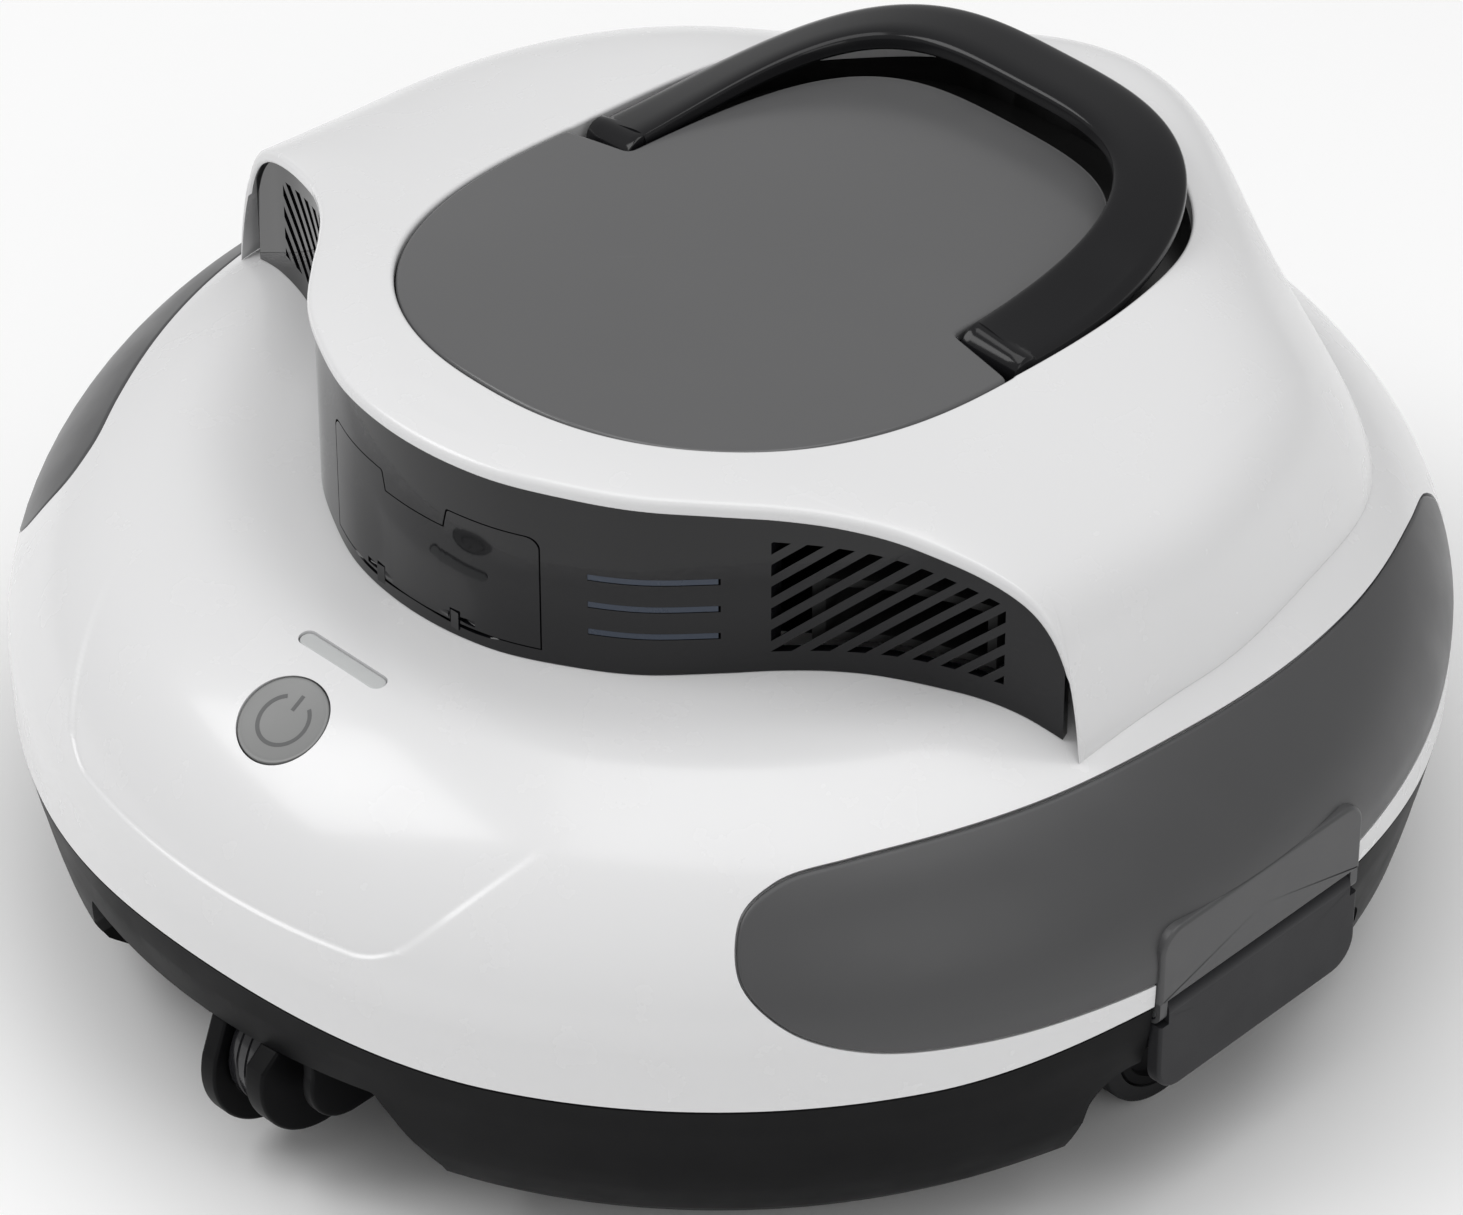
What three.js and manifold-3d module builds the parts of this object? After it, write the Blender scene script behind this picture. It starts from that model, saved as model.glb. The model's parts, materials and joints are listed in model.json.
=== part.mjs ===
// Cordless jet-drive pool cleaner. Millimetres, +Z up, front towards -Y, origin on the ground under the centre.
import * as THREE from 'three';
import { mergeVertices } from 'three/addons/utils/BufferGeometryUtils.js';
import Module from 'manifold-3d';

const wasm = await Module();
wasm.setup();

// ---- driving dimensions ----------------------------------------------------
const GAP = 0.3;                    // clearance between neighbouring pieces
const SHELL = 3;                    // wall of the big mouldings

const DOME_R = 198.55;              // upper shell radius at its widest
const DOME_Z = 84.25;               // height of the widest line
const DOME_H = 60.06;               // rise above the widest line
const DOME_P = 5.18;                // plan exponent of the shell's profile
const DOME_Q = 1.66;                // height exponent of the shell's profile
const DECK = { drop: 4.7, inner: 118, outer: 150 };   // the shell's top sinks to a flat deck
const SQUASH = 0.98;                // width over length of the body
const PART_Z = 66;                  // height of the line between shell and base
const PART_RISE = 5.3;              // the line rises over the four arches

const BASE_Z = 8.3;                 // underside of the base
const FLOOR_T = 3;
const RIM_Z = 50;                   // where the skirt starts to tuck in
const ARCH_HALF = 53;               // half width of the side arches
// Flared outline of the front and rear arches: half width, height.
const END_ARCH = [[66, -5], [66, 24], [63, 32], [60.5, 36.3], [57.7, 42.7], [55, 50]];
const ARCH_TOP = 50;
const END_TOP = 58;                 // ceiling over the bumper rollers, behind the rim
const END_WELL = 150;               // inner wall of the front and rear arches
const SIDE_WELL = 135;              // inner wall of the side arches

const HOOD_Y = 12.2;                // centre of the hood and of the oval on it
const HOOD_A = 157.6;               // half width of the hood
const HOOD_T = 3.2;
const HOOD_TOP = 186.5;
const LIP_OVERHANG = 1.6;
const LIP_TURN = { drop: 2.3, reach: 7 };              // the front lip turns down at its edge
const BAND_T = 2.5;

const OVAL = { a: 81.7, b: 102.5, n: 2.3 };          // grey panel, front part
const GRIP_IN = { a: 60.8, b: 97.6, n: 3.65 };       // inner edge of the handle
const GRIP_OUT = { a: 80.1, b: 118.5, n: 3.17 };     // outer edge of the handle
const HINGE_Y = 28.5;                                // handle pivot
const HINGE_Z = 179.8;
const CHANNEL = 13.5;                                // depth of the tray under the handle

const DOOR_HALF = 37.6;
const DOOR_Z = [141.8, 177];
const NOTCH_Z = 171;
const DOOR_HINGE = { y: -114.6, z: 143.4 };

const BUTTON = { y: -164, r: 12.7, travel: 1.5 };
const LATCH_X = 192.4;              // flat outer face of the latch
const LATCH_HALF = 38.6;
const LATCH_Z = [40.3, 71.1];

const WHEEL_R = 25;
const ROLLER = { y: 175.5, z: 35.4, r: 19.5 };
const UNDER = { y: 120, r: 12 };
const PUMP = { x: 108, y: 20 };

const FINE = 40;                    // facets round the body
const ROUND = 16;                   // facets round a small cylinder

// ---- colours ---------------------------------------------------------------
const WHITE = { color: 0xe6e6e6, roughness: 0.3, metalness: 0 };
const GREY = { color: 0x565656, roughness: 0.35, metalness: 0 };
const TOP_GREY = { color: 0x6a6a6a, roughness: 0.2, metalness: 0 };
const BLACK = { color: 0x1e1e1e, roughness: 0.35, metalness: 0 };
const GLOSS_BLACK = { color: 0x121212, roughness: 0.1, metalness: 0 };
const RUBBER = { color: 0x161616, roughness: 0.8, metalness: 0 };
const STEEL = { color: 0xb5b8bc, roughness: 0.3, metalness: 1 };
const BRASS = { color: 0xc2a15a, roughness: 0.35, metalness: 1 };
const LIGHT = { color: 0x3a5f8f, roughness: 0.4, metalness: 0 };
const LENS = { color: 0xcacaca, roughness: 0.3, metalness: 0 };
const BUTTON_GREY = { color: 0x878787, roughness: 0.45, metalness: 0 };
const BOARD = { color: 0x1f5a35, roughness: 0.6, metalness: 0 };
const CELL = { color: 0x2f4f86, roughness: 0.5, metalness: 0 };
const MESH = { color: 0x9aa3a6, roughness: 0.7, metalness: 0 };

// ---- solids ----------------------------------------------------------------
function solid(geometry) {
  const bare = new THREE.BufferGeometry();
  bare.setAttribute('position', geometry.getAttribute('position').clone());
  if (geometry.index) bare.setIndex(geometry.index.clone());
  const merged = mergeVertices(bare, 1e-4);
  const index = merged.index.array;
  const kept = [];
  for (let i = 0; i < index.length; i += 3) {
    const [a, b, c] = [index[i], index[i + 1], index[i + 2]];
    if (a !== b && b !== c && c !== a) kept.push(a, b, c);
  }
  return fromArrays(merged.getAttribute('position').array, kept);
}

function fromArrays(positions, triangles) {
  const vertProperties = Float32Array.from(positions);
  const triVerts = Uint32Array.from(triangles);
  const made = new wasm.Manifold(new wasm.Mesh({ numProp: 3, vertProperties, triVerts }));
  if (made.volume() > 0) return made;
  for (let i = 0; i < triVerts.length; i += 3) {
    [triVerts[i], triVerts[i + 1]] = [triVerts[i + 1], triVerts[i]];
  }
  return new wasm.Manifold(new wasm.Mesh({ numProp: 3, vertProperties, triVerts }));
}

function block(xs, ys, zs) {
  const box = new THREE.BoxGeometry(xs[1] - xs[0], ys[1] - ys[0], zs[1] - zs[0]);
  box.translate((xs[0] + xs[1]) / 2, (ys[0] + ys[1]) / 2, (zs[0] + zs[1]) / 2);
  return solid(box);
}

// Local X, Y, Z of a shape become these world axes, so that its depth runs along the named axis.
const AXES = {
  x: new THREE.Matrix4().makeBasis(
    new THREE.Vector3(0, 1, 0), new THREE.Vector3(0, 0, 1), new THREE.Vector3(1, 0, 0)),
  y: new THREE.Matrix4().makeBasis(
    new THREE.Vector3(0, 0, 1), new THREE.Vector3(1, 0, 0), new THREE.Vector3(0, 1, 0)),
  z: new THREE.Matrix4(),
};

// Outline points are (y, z) for axis x, (z, x) for axis y and (x, y) for axis z.
function prism(axis, points, range, holes = []) {
  const shape = new THREE.Shape(points.map(([u, v]) => new THREE.Vector2(u, v)));
  for (const hole of holes) shape.holes.push(new THREE.Path(hole.map(([u, v]) => new THREE.Vector2(u, v))));
  const body = new THREE.ExtrudeGeometry(shape, { depth: range[1] - range[0], bevelEnabled: false });
  body.translate(0, 0, range[0]);
  body.applyMatrix4(AXES[axis]);
  return solid(body);
}

function circle(radius, centre = [0, 0], count = ROUND) {
  const points = [];
  for (let i = 0; i < count; i++) {
    const t = (2 * Math.PI * i) / count;
    points.push([centre[0] + radius * Math.cos(t), centre[1] + radius * Math.sin(t)]);
  }
  return points;
}

function rod(axis, radius, range, centre = [0, 0], count = ROUND) {
  return prism(axis, circle(radius, centre, count), range);
}

// A solid of stacked rings; each ring is a closed list of points, and the end rings get flat fans.
function stack(rings) {
  const count = rings[0].length;
  const positions = rings.flat(2);
  const triangles = [];
  for (let r = 0; r + 1 < rings.length; r++) {
    for (let i = 0; i < count; i++) {
      const a = r * count + i;
      const b = r * count + ((i + 1) % count);
      triangles.push(a, b, b + count, a, b + count, a + count);
    }
  }
  for (const [ring, flip] of [[0, true], [rings.length - 1, false]]) {
    const centre = [0, 1, 2].map((k) => rings[ring].reduce((sum, p) => sum + p[k], 0) / count);
    const apex = positions.length / 3;
    positions.push(...centre);
    for (let i = 0; i < count; i++) {
      const a = ring * count + i;
      const b = ring * count + ((i + 1) % count);
      triangles.push(...(flip ? [b, a, apex] : [a, b, apex]));
    }
  }
  return fromArrays(positions, triangles);
}

// A wall that follows a plan curve: outer and inner points with their own bottom and top heights.
function wall(outer, inner, bottom, top) {
  const rings = outer.map((p, i) => [
    [p[0], p[1], bottom(p[0], p[1])],
    [p[0], p[1], top(p[0], p[1])],
    [inner[i][0], inner[i][1], top(inner[i][0], inner[i][1])],
    [inner[i][0], inner[i][1], bottom(inner[i][0], inner[i][1])],
  ]);
  return stack(rings);
}

// Everything below a height field, over a rectangle.
function under(height, xs, ys, counts, floor = 0) {
  const [nx, ny] = counts;
  const rings = [];
  for (let j = 0; j <= ny; j++) {
    const y = THREE.MathUtils.lerp(ys[0], ys[1], j / ny);
    const ring = [];
    for (let i = 0; i <= nx; i++) {
      const x = THREE.MathUtils.lerp(xs[0], xs[1], i / nx);
      ring.push([x, y, height(x, y)]);
    }
    for (let i = nx; i >= 0; i--) ring.push([THREE.MathUtils.lerp(xs[0], xs[1], i / nx), y, floor]);
    rings.push(ring);
  }
  const count = rings[0].length;
  const triangles = [];
  for (let r = 0; r + 1 < rings.length; r++) {
    for (let i = 0; i < count; i++) {
      const a = r * count + i;
      const b = r * count + ((i + 1) % count);
      triangles.push(a, b, b + count, a, b + count, a + count);
    }
  }
  for (const [first, flip] of [[0, true], [(rings.length - 1) * count, false]]) {
    for (let i = 0; i < nx; i++) {
      const quad = [first + i, first + i + 1, first + count - 2 - i, first + count - 1 - i];
      const [a, b, c, d] = flip ? quad.reverse() : quad;
      triangles.push(a, b, c, a, c, d);
    }
  }
  return fromArrays(rings.flat(2), triangles);
}

function union(...parts) {
  return parts.reduce((sum, part) => sum.add(part));
}

function turned(axis, angle, centre, made) {
  const mesh = made.getMesh();
  const geometry = new THREE.BufferGeometry();
  geometry.setAttribute('position', new THREE.BufferAttribute(Float32Array.from(mesh.vertProperties), 3));
  geometry.setIndex(Array.from(mesh.triVerts));
  geometry.translate(-centre[0], -centre[1], -centre[2]);
  geometry.applyMatrix4(new THREE.Matrix4().makeRotationAxis(new THREE.Vector3(...axis), angle));
  geometry.translate(...centre);
  return fromArrays(geometry.getAttribute('position').array, geometry.index.array);
}

function mirrored(made) {
  const mesh = made.getMesh();
  const positions = Float32Array.from(mesh.vertProperties);
  for (let i = 0; i < positions.length; i += 3) positions[i] = -positions[i];
  return fromArrays(positions, mesh.triVerts);
}

const UP = [0, 0, 1];
function aboutFace(made) {
  return turned(UP, Math.PI, [0, 0, 0], made);
}

// ---- curves and surfaces of the body ---------------------------------------
function deckDrop(r) {
  return DECK.drop * (1 - THREE.MathUtils.smoothstep(r, DECK.inner, DECK.outer));
}

function domeZ(x, y, inset = 0) {
  const r = Math.hypot(x / SQUASH, y);
  const rise = Math.max(1e-6, 1 - (r / (DOME_R - inset)) ** DOME_P) ** (1 / DOME_Q);
  return DOME_Z + (DOME_H - inset) * rise - deckDrop(r);
}

function partZ(theta) {
  const beside = Math.abs(Math.cos(theta)) > Math.SQRT1_2;
  const away = THREE.MathUtils.radToDeg(Math.asin(Math.abs(beside ? Math.sin(theta) : Math.cos(theta))));
  const fall = beside ? THREE.MathUtils.smoothstep(away, 8, 30) : THREE.MathUtils.smoothstep(away, 0, 27);
  return PART_Z + PART_RISE * (1 - fall);
}

function bodyRing(radius, z) {
  const ring = [];
  for (let i = 0; i < FINE; i++) {
    const theta = (2 * Math.PI * i) / FINE;
    const height = typeof z === 'function' ? z(theta) : z;
    ring.push([SQUASH * radius * Math.cos(theta), radius * Math.sin(theta), height]);
  }
  return ring;
}

// The dome as a full solid, inset by the given amount, down to its bottom line.
function domeSolid(inset, bottom) {
  const rings = [bodyRing(DOME_R - inset - 0.3, bottom), bodyRing(DOME_R - inset, DOME_Z)];
  for (const degrees of [76, 62, 48, 37, 28, 22, 15.5, 6]) {
    const t = THREE.MathUtils.degToRad(degrees);
    const radius = (DOME_R - inset) * Math.sin(t) ** (2 / DOME_P);
    const height = DOME_Z + (DOME_H - inset) * Math.cos(t) ** (2 / DOME_Q) - deckDrop(radius);
    rings.push(bodyRing(radius, height));
  }
  return stack(rings);
}

function superOval({ a, b, n }, centreY, count, grow = 0, start = 0) {
  const points = [];
  for (let i = 0; i < count; i++) {
    const t = start + (2 * Math.PI * i) / count;
    const c = Math.cos(t);
    const s = Math.sin(t);
    const x = (a + grow) * Math.sign(c) * Math.abs(c) ** (2 / n);
    points.push([x, centreY + (b + grow) * Math.sign(s) * Math.abs(s) ** (2 / n)]);
  }
  return points;
}

// Plan curve of the fascia under the hood's front edge, right half, then mirrored.
const FASCIA_KEYS = [
  [0, -116.6], [25, -113.2], [45, -104.2], [60, -94.3], [74.2, -79.8], [84.4, -68.2],
  [95.4, -57.5], [108, -48.4], [122.6, -41.8], [139, -36.8], [152.5, -32.9],
];
const fasciaCurve = new THREE.CatmullRomCurve3(
  [...FASCIA_KEYS.slice(1).map(([x, y]) => [-x, y]).reverse(), ...FASCIA_KEYS]
    .map(([x, y]) => new THREE.Vector3(x, y, 0)), false, 'centripetal');

function fascia(offset, from = 0, to = 1, count = 48) {
  const points = [];
  for (let i = 0; i <= count; i++) {
    const t = THREE.MathUtils.lerp(from, to, i / count);
    const p = fasciaCurve.getPoint(t);
    const tangent = fasciaCurve.getTangent(t);
    points.push([p.x - offset * tangent.y, p.y + offset * tangent.x]);
  }
  return points;
}

// How far the hood's front edge turns down at a point: full at the lip, fading behind it and at the wings.
const LIP_LINE = fascia(-LIP_OVERHANG, 0, 1, 120);
function lipTurn(x, y) {
  const next = LIP_LINE.findIndex((p) => p[0] >= x);
  if (next < 1) return 0;
  const [a, b] = [LIP_LINE[next - 1], LIP_LINE[next]];
  const lipY = a[1] + ((b[1] - a[1]) * (x - a[0])) / (b[0] - a[0]);
  const slope = (b[1] - a[1]) / (b[0] - a[0]);
  const behind = Math.max(0, (y - lipY) / Math.hypot(1, slope));
  const fade = 1 - THREE.MathUtils.smoothstep(Math.abs(x), 112, 145);
  return LIP_TURN.drop * fade * Math.exp(-behind / LIP_TURN.reach);
}

// Top of the hood before its edge rolls over.
function crownZ(x, y) {
  const u = x / 60;
  const v = (y - HOOD_Y) / 60;
  const nose = Math.max(0, -v - 1.2);
  const crown = HOOD_TOP - 4.61 * v + 1.45 * v * v - 0.29 * u * u - 0.4 * u ** 4 - 4.04 * nose * nose;
  return crown - lipTurn(x, y);
}

// Radius of the hood's foot, about its own centre; the front runs on straight past the lip.
function hoodRadius(phi) {
  if (Math.sin(phi) < 0) {
    const c = Math.abs(Math.cos(phi)) / HOOD_A;
    return (c ** 6 + (Math.abs(Math.sin(phi)) / 300) ** 6) ** (-1 / 6);
  }
  const wave = (t) => 120.19 - 0.05 * Math.cos(2 * t) - 0.82 * Math.cos(4 * t)
    - 2.61 * Math.cos(6 * t) + 2.23 * Math.cos(8 * t);
  return (HOOD_A * wave(phi)) / wave(0);
}

function hoodPoint(rho, phi, inset) {
  const back = Math.sin(phi) >= 0;
  const radius = hoodRadius(phi) - inset;
  const foot = [radius * Math.cos(phi), HOOD_Y + radius * Math.sin(phi)];
  const x = rho * foot[0];
  const y = HOOD_Y + rho * (foot[1] - HOOD_Y);
  const w = back ? Math.sin(phi) ** 2 : 0;
  const w2 = back ? Math.sin(2 * phi) ** 2 : 0;
  const sharpness = 30 * (1 - w) + 18.9 * w - 14.6 * w2;
  const drop = back ? crownZ(...foot) - domeZ(...foot) : crownZ(foot[0], y) - 131;
  const roll = 1 - Math.max(0, 1 - rho ** sharpness) ** (1 / 1.2);
  const saddle = 6.8 * w2 * w2 * rho ** 8 * (1 - rho ** 8) * 4;
  return [x, y, crownZ(x, y) - drop * roll - saddle - inset];
}

function hoodZ(x, y, inset) {
  const phi = Math.atan2(y - HOOD_Y, x);
  const rho = Math.min(1, Math.hypot(x, y - HOOD_Y) / (hoodRadius(phi) - inset));
  return hoodPoint(rho, phi, inset)[2];
}

function hoodSolid(inset) {
  const rings = [];
  for (const rho of [1, 0.99, 0.97, 0.94, 0.89, 0.81, 0.66, 0.52, 0.38, 0.2]) {
    const ring = [];
    for (let i = 0; i < FINE; i++) ring.push(hoodPoint(rho, (2 * Math.PI * i) / FINE, inset));
    rings.push(ring);
  }
  rings.unshift(rings[0].map(([x, y]) => [x, y, 100]));
  return stack(rings);
}

// Curve parameter at a given x on the fascia.
function fasciaAt(x) {
  let [low, high] = [0, 1];
  for (let i = 0; i < 40; i++) {
    const middle = (low + high) / 2;
    if (fasciaCurve.getPoint(middle).x < x) low = middle;
    else high = middle;
  }
  return low;
}

function behindFascia(offset) {
  const edge = fascia(offset);
  return prism('z', [[-170, 200], [-170, edge[0][1]], ...edge, [170, edge[0][1]], [170, 200]].reverse(), [100, 220]);
}

// ---- the named pieces ------------------------------------------------------
const model = new THREE.Group();

function add(name, made, look) {
  const mesh = made.getMesh();
  const geometry = new THREE.BufferGeometry();
  geometry.setAttribute('position', new THREE.BufferAttribute(Float32Array.from(mesh.vertProperties), 3));
  geometry.setIndex(Array.from(mesh.triVerts));
  geometry.computeVertexNormals();
  const node = new THREE.Mesh(geometry, new THREE.MeshStandardMaterial(look));
  node.name = name;
  model.add(node);
}

function addPair(name, made, look) {
  add(`${name}_right`, made, look);
  add(`${name}_left`, mirrored(made), look);
}

function addEnds(name, made, look) {
  add(`${name}_front`, made, look);
  add(`${name}_rear`, aboutFace(made), look);
}

// Base: skirt, floor, four arches with their wells, intake chimney.
const SKIRT = [
  [172, BASE_Z], [176.8, 13], [185.5, 21], [191, 33], [195, RIM_Z], [197.4, 62],
];

function traySolid(inset) {
  const rings = SKIRT.map(([r, z]) => bodyRing(r - inset, z + (z < 20 ? inset : 0)));
  rings.push(bodyRing(198.2 - inset, (theta) => partZ(theta) - 0.4 + (inset > 0 ? 5 : 0)));
  return stack(rings);
}

function archPrism(axis, half, top, range) {
  const r = 12;
  const points = [[-half, -5], [half, -5]];
  for (let i = 0; i <= 4; i++) {
    const t = (Math.PI / 2) * (i / 4);
    points.push([half - r + r * Math.cos(t), top - r + r * Math.sin(t)]);
  }
  for (let i = 0; i <= 4; i++) {
    const t = Math.PI / 2 + (Math.PI / 2) * (i / 4);
    points.push([-half + r + r * Math.cos(t), top - r + r * Math.sin(t)]);
  }
  if (axis === 'x') return prism('x', points, range);
  return prism('y', points.map(([u, v]) => [v, u]).reverse(), range);
}

// The flared outline of the front and rear arches, grown sideways and upward.
function endArch(grow, top, range) {
  const half = END_ARCH.slice(0, -1).map(([x, z]) => [z, x + grow]);
  half.push([top, END_ARCH[END_ARCH.length - 1][0] + grow]);
  return prism('y', [...half, ...half.map(([z, x]) => [z, -x]).reverse()].reverse(), range);
}

function baseTray() {
  const envelope = traySolid(0);
  let tray = envelope.subtract(traySolid(SHELL));
  const t = 2.5;
  const endOuter = endArch(t, END_TOP + t, [END_WELL - t, 210]);
  const sideOuter = archPrism('x', ARCH_HALF + t, ARCH_TOP + t, [SIDE_WELL - t, 210]);
  const endInner = endArch(0, ARCH_TOP, [END_WELL, 210])
    .add(endArch(0, END_TOP, [END_WELL, 190.2]).intersect(traySolid(4)));
  const sideInner = archPrism('x', ARCH_HALF, ARCH_TOP, [SIDE_WELL, 210]);
  const underOuter = block([-20, 20], [UNDER.y - 16, UNDER.y + 16], [BASE_Z, 28]);
  const underInner = block([-18, 18], [UNDER.y - 14, UNDER.y + 14], [-5, 26]);
  const bridge = block([176, 184.2], [-45, 45], [ARCH_TOP, 71]);
  const walls = union(endOuter, sideOuter, underOuter, bridge);
  tray = tray.add(walls.intersect(envelope)).add(aboutFace(walls).intersect(envelope));
  tray = tray.add(block([-47.5, 47.5], [-19, 19], [BASE_Z, 23.4]));
  for (const x of [-49, 46]) {
    for (const y of [-18.5, 18.5]) tray = tray.add(block([x, x + 3], [y - 3, y + 3], [22, 29]));
  }
  const latchSpace = block([184.4, 210], [-LATCH_HALF - 1, LATCH_HALF + 1], [30, 90]);
  const hollows = union(endInner, sideInner, underInner, latchSpace);
  tray = tray.subtract(hollows).subtract(aboutFace(hollows));
  tray = tray.subtract(block([-45, 45], [-16.5, 16.5], [0, 40]));
  for (const y of [-18.5, 18.5]) tray = tray.subtract(rod('x', 1.5, [-60, 60], [y, 26.4], 12));
  tray = tray.subtract(rod('x', 4.3, [-150, 150], [0, WHEEL_R]));
  for (const y of [-UNDER.y, UNDER.y]) tray = tray.subtract(rod('x', 2.5, [-19.2, 19.2], [y, UNDER.r], 16));
  return tray;
}
add('base_tray', baseTray(), BLACK);

// Guard ribs and the bumper roller between them, right of the centre line.
// Each rib: its two faces, the centre and radius of its nose, the angle where the nose starts, its top corner.
const RIBS = [
  { xs: [0.9, 6.6], y: 174.9, z: 31.5, r: 24.4, from: 165, top: 194 },
  { xs: [18.7, 25.4], y: 176.2, z: 39.1, r: 23.2, from: 165, top: 193 },
  { xs: [32.2, 36.2], y: 176.5, z: 41.3, r: 15, from: 165, top: 191 },
];

function guardRib({ xs, y, z, r, from, top }) {
  const under = ARCH_TOP - 0.4;
  const points = [[-151, Math.max(16, z - r)], [-151, under], [-top, under]];
  for (let i = 0; i <= 8; i++) {
    const t = THREE.MathUtils.degToRad(THREE.MathUtils.lerp(from, 270, i / 8));
    points.push([-y + r * Math.cos(t), z + r * Math.sin(t)]);
  }
  return prism('x', points, xs);
}

function guard() {
  const plate = block([-2, 39], [-153, -150.4], [14, 49.6]);
  return union(...RIBS.map(guardRib), plate).subtract(rod('x', 3.3, [-5, 35.2], [-ROLLER.y, ROLLER.z]));
}
addEnds('guard', guard(), BLACK);

const rollerAxle = union(
  rod('x', 3, [-1.6, 35], [-ROLLER.y, ROLLER.z]),
  rod('x', 5, [-1.6, 0.6], [-ROLLER.y, ROLLER.z]));
addEnds('bumper_axle', rollerAxle, STEEL);

const drum = rod('x', ROLLER.r, [7, 18.3], [-ROLLER.y, ROLLER.z], 28)
  .subtract(rod('x', 3.3, [0, 20], [-ROLLER.y, ROLLER.z]));
addEnds('bumper_roller', drum, GLOSS_BLACK);

// Side wheels on fixed axles.
const wheelAxle = union(
  rod('x', 4, [126, 165], [0, WHEEL_R]),
  rod('x', 7, [126, 132.1], [0, WHEEL_R]),
  rod('x', 7, [163.4, 165.4], [0, WHEEL_R]));
addPair('wheel_axle', wheelAxle, STEEL);
const hub = union(rod('x', 9, [136, 163], [0, WHEEL_R]), rod('x', 20, [147, 163], [0, WHEEL_R], 28))
  .subtract(rod('x', 4.3, [130, 170], [0, WHEEL_R]));
addPair('side_wheel', hub, BLACK);
const tyre = rod('x', WHEEL_R, [147, 163], [0, WHEEL_R], 36)
  .subtract(rod('x', 20.3, [140, 170], [0, WHEEL_R], 28));
addPair('tyre', tyre, RUBBER);

// Small rollers under the base, each with stub axles of its own.
const underRoller = union(
  rod('x', UNDER.r, [-16, 16], [-UNDER.y, UNDER.r], 28),
  rod('x', 2.2, [-19, 19], [-UNDER.y, UNDER.r], 16));
addEnds('under_roller', underRoller, RUBBER);

// Intake: two one-way flaps over the chimney, their pins, and the wiper lips under the floor.
const flap = union(
  block([-44, 44], [-18.5, -0.6], [25.4, 27.2]),
  rod('x', 2.6, [-44, 44], [-18.5, 26.4], 16)).subtract(rod('x', 1.5, [-50, 50], [-18.5, 26.4], 12));
addEnds('intake_flap', flap, RUBBER);
addEnds('flap_pin', rod('x', 1.2, [-50, 50], [-18.5, 26.4], 12), STEEL);
addEnds('intake_wiper', block([-50, 50], [-31, -28.5], [1.2, BASE_Z - GAP]), RUBBER);

// Filter basket and its mesh liner.
function basket() {
  let made = block([-95, 95], [-98, 98], [14, 60]).subtract(block([-92.5, 92.5], [-95.5, 95.5], [16.5, 70]));
  made = made.subtract(block([-51, 51], [-23, 23], [10, 20]));
  for (const along of [-68, -23, 23, 68]) {
    made = made.subtract(block([along - 18, along + 18], [-110, 110], [22, 54]));
    made = made.subtract(block([-110, 110], [along - 18, along + 18], [22, 54]));
  }
  return made;
}
add('filter_basket', basket(), GREY);
add('filter_mesh', block([-92.2, 92.2], [-95.2, 95.2], [17, 57])
  .subtract(block([-91, 91], [-94, 94], [10, 60])), MESH);

// Side panels with the flat grip pad above each latch.
const PANEL_KEYS = [
  [-134, 103], [-128.5, 91.5], [-113, 83], [-88, 79.4], [-50, 78.6], [50, 78.6], [105, 79.6], [134, 85.5],
  [147, 96], [139, 106], [118, 113.8], [70, 121.5], [2, 126.6], [-47, 126.7], [-98, 124.9], [-116, 122.2],
  [-128, 115.5],
];

function panelOutline(grow) {
  const curve = new THREE.CatmullRomCurve3(PANEL_KEYS.map(([y, z]) => new THREE.Vector3(y, z, 0)), true);
  const points = [];
  const count = 44;
  for (let i = 0; i < count; i++) {
    const p = curve.getPoint(i / count);
    const tangent = curve.getTangent(i / count);
    points.push([p.x + grow * tangent.y, p.y - grow * tangent.x]);
  }
  return points;
}

const PAD_Z = [71.6, 95];
const padCut = block([LATCH_X, 210], [-39, 39], [60, PAD_Z[1]]);
const padSpace = block([183, 210], [-39 - GAP, 39 + GAP], [60, PAD_Z[1] + GAP]);
const LATCH_PIN = [0, 67.5];
const latchPinX = LATCH_X - 3.6;
const LUG = [35.9, 38.7];           // hinge lugs at both ends of the latch barrel

function sidePanel() {
  let made = domeSolid(0, 60).subtract(domeSolid(2.1, 50)).intersect(prism('x', panelOutline(0), [60, 210]));
  made = made.subtract(padCut).add(block([184, LATCH_X], [-39, 39], PAD_Z));
  for (const ys of [LUG, [-LUG[1], -LUG[0]]]) {
    made = made.add(block([latchPinX - 3.1, latchPinX + 3.1], ys, [LATCH_PIN[1], 72]));
    made = made.add(rod('y', 3.1, ys, [LATCH_PIN[1], latchPinX], 12));
  }
  return made.subtract(rod('y', 1.8, [-50, 50], [LATCH_PIN[1], latchPinX], 12));
}
addPair('side_panel', sidePanel(), GREY);

// Upper shell, open under the hood.
const DECK_HOLE = { a: 115, b: 100, n: 2 };
const lower = (theta) => partZ(theta);
const buttonTilt = Math.atan((domeZ(0, BUTTON.y - 1) - domeZ(0, BUTTON.y + 1)) / -2);
const buttonAt = [0, BUTTON.y, domeZ(0, BUTTON.y)];

// A solid drawn upright at the origin, set square to the shell at the button.
function atButton(made) {
  const mesh = turned([1, 0, 0], buttonTilt, [0, 0, 0], made).getMesh();
  const positions = Float32Array.from(mesh.vertProperties);
  for (let i = 0; i < positions.length; i += 3) {
    for (let k = 0; k < 3; k++) positions[i + k] += buttonAt[k];
  }
  return fromArrays(positions, mesh.triVerts);
}

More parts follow.
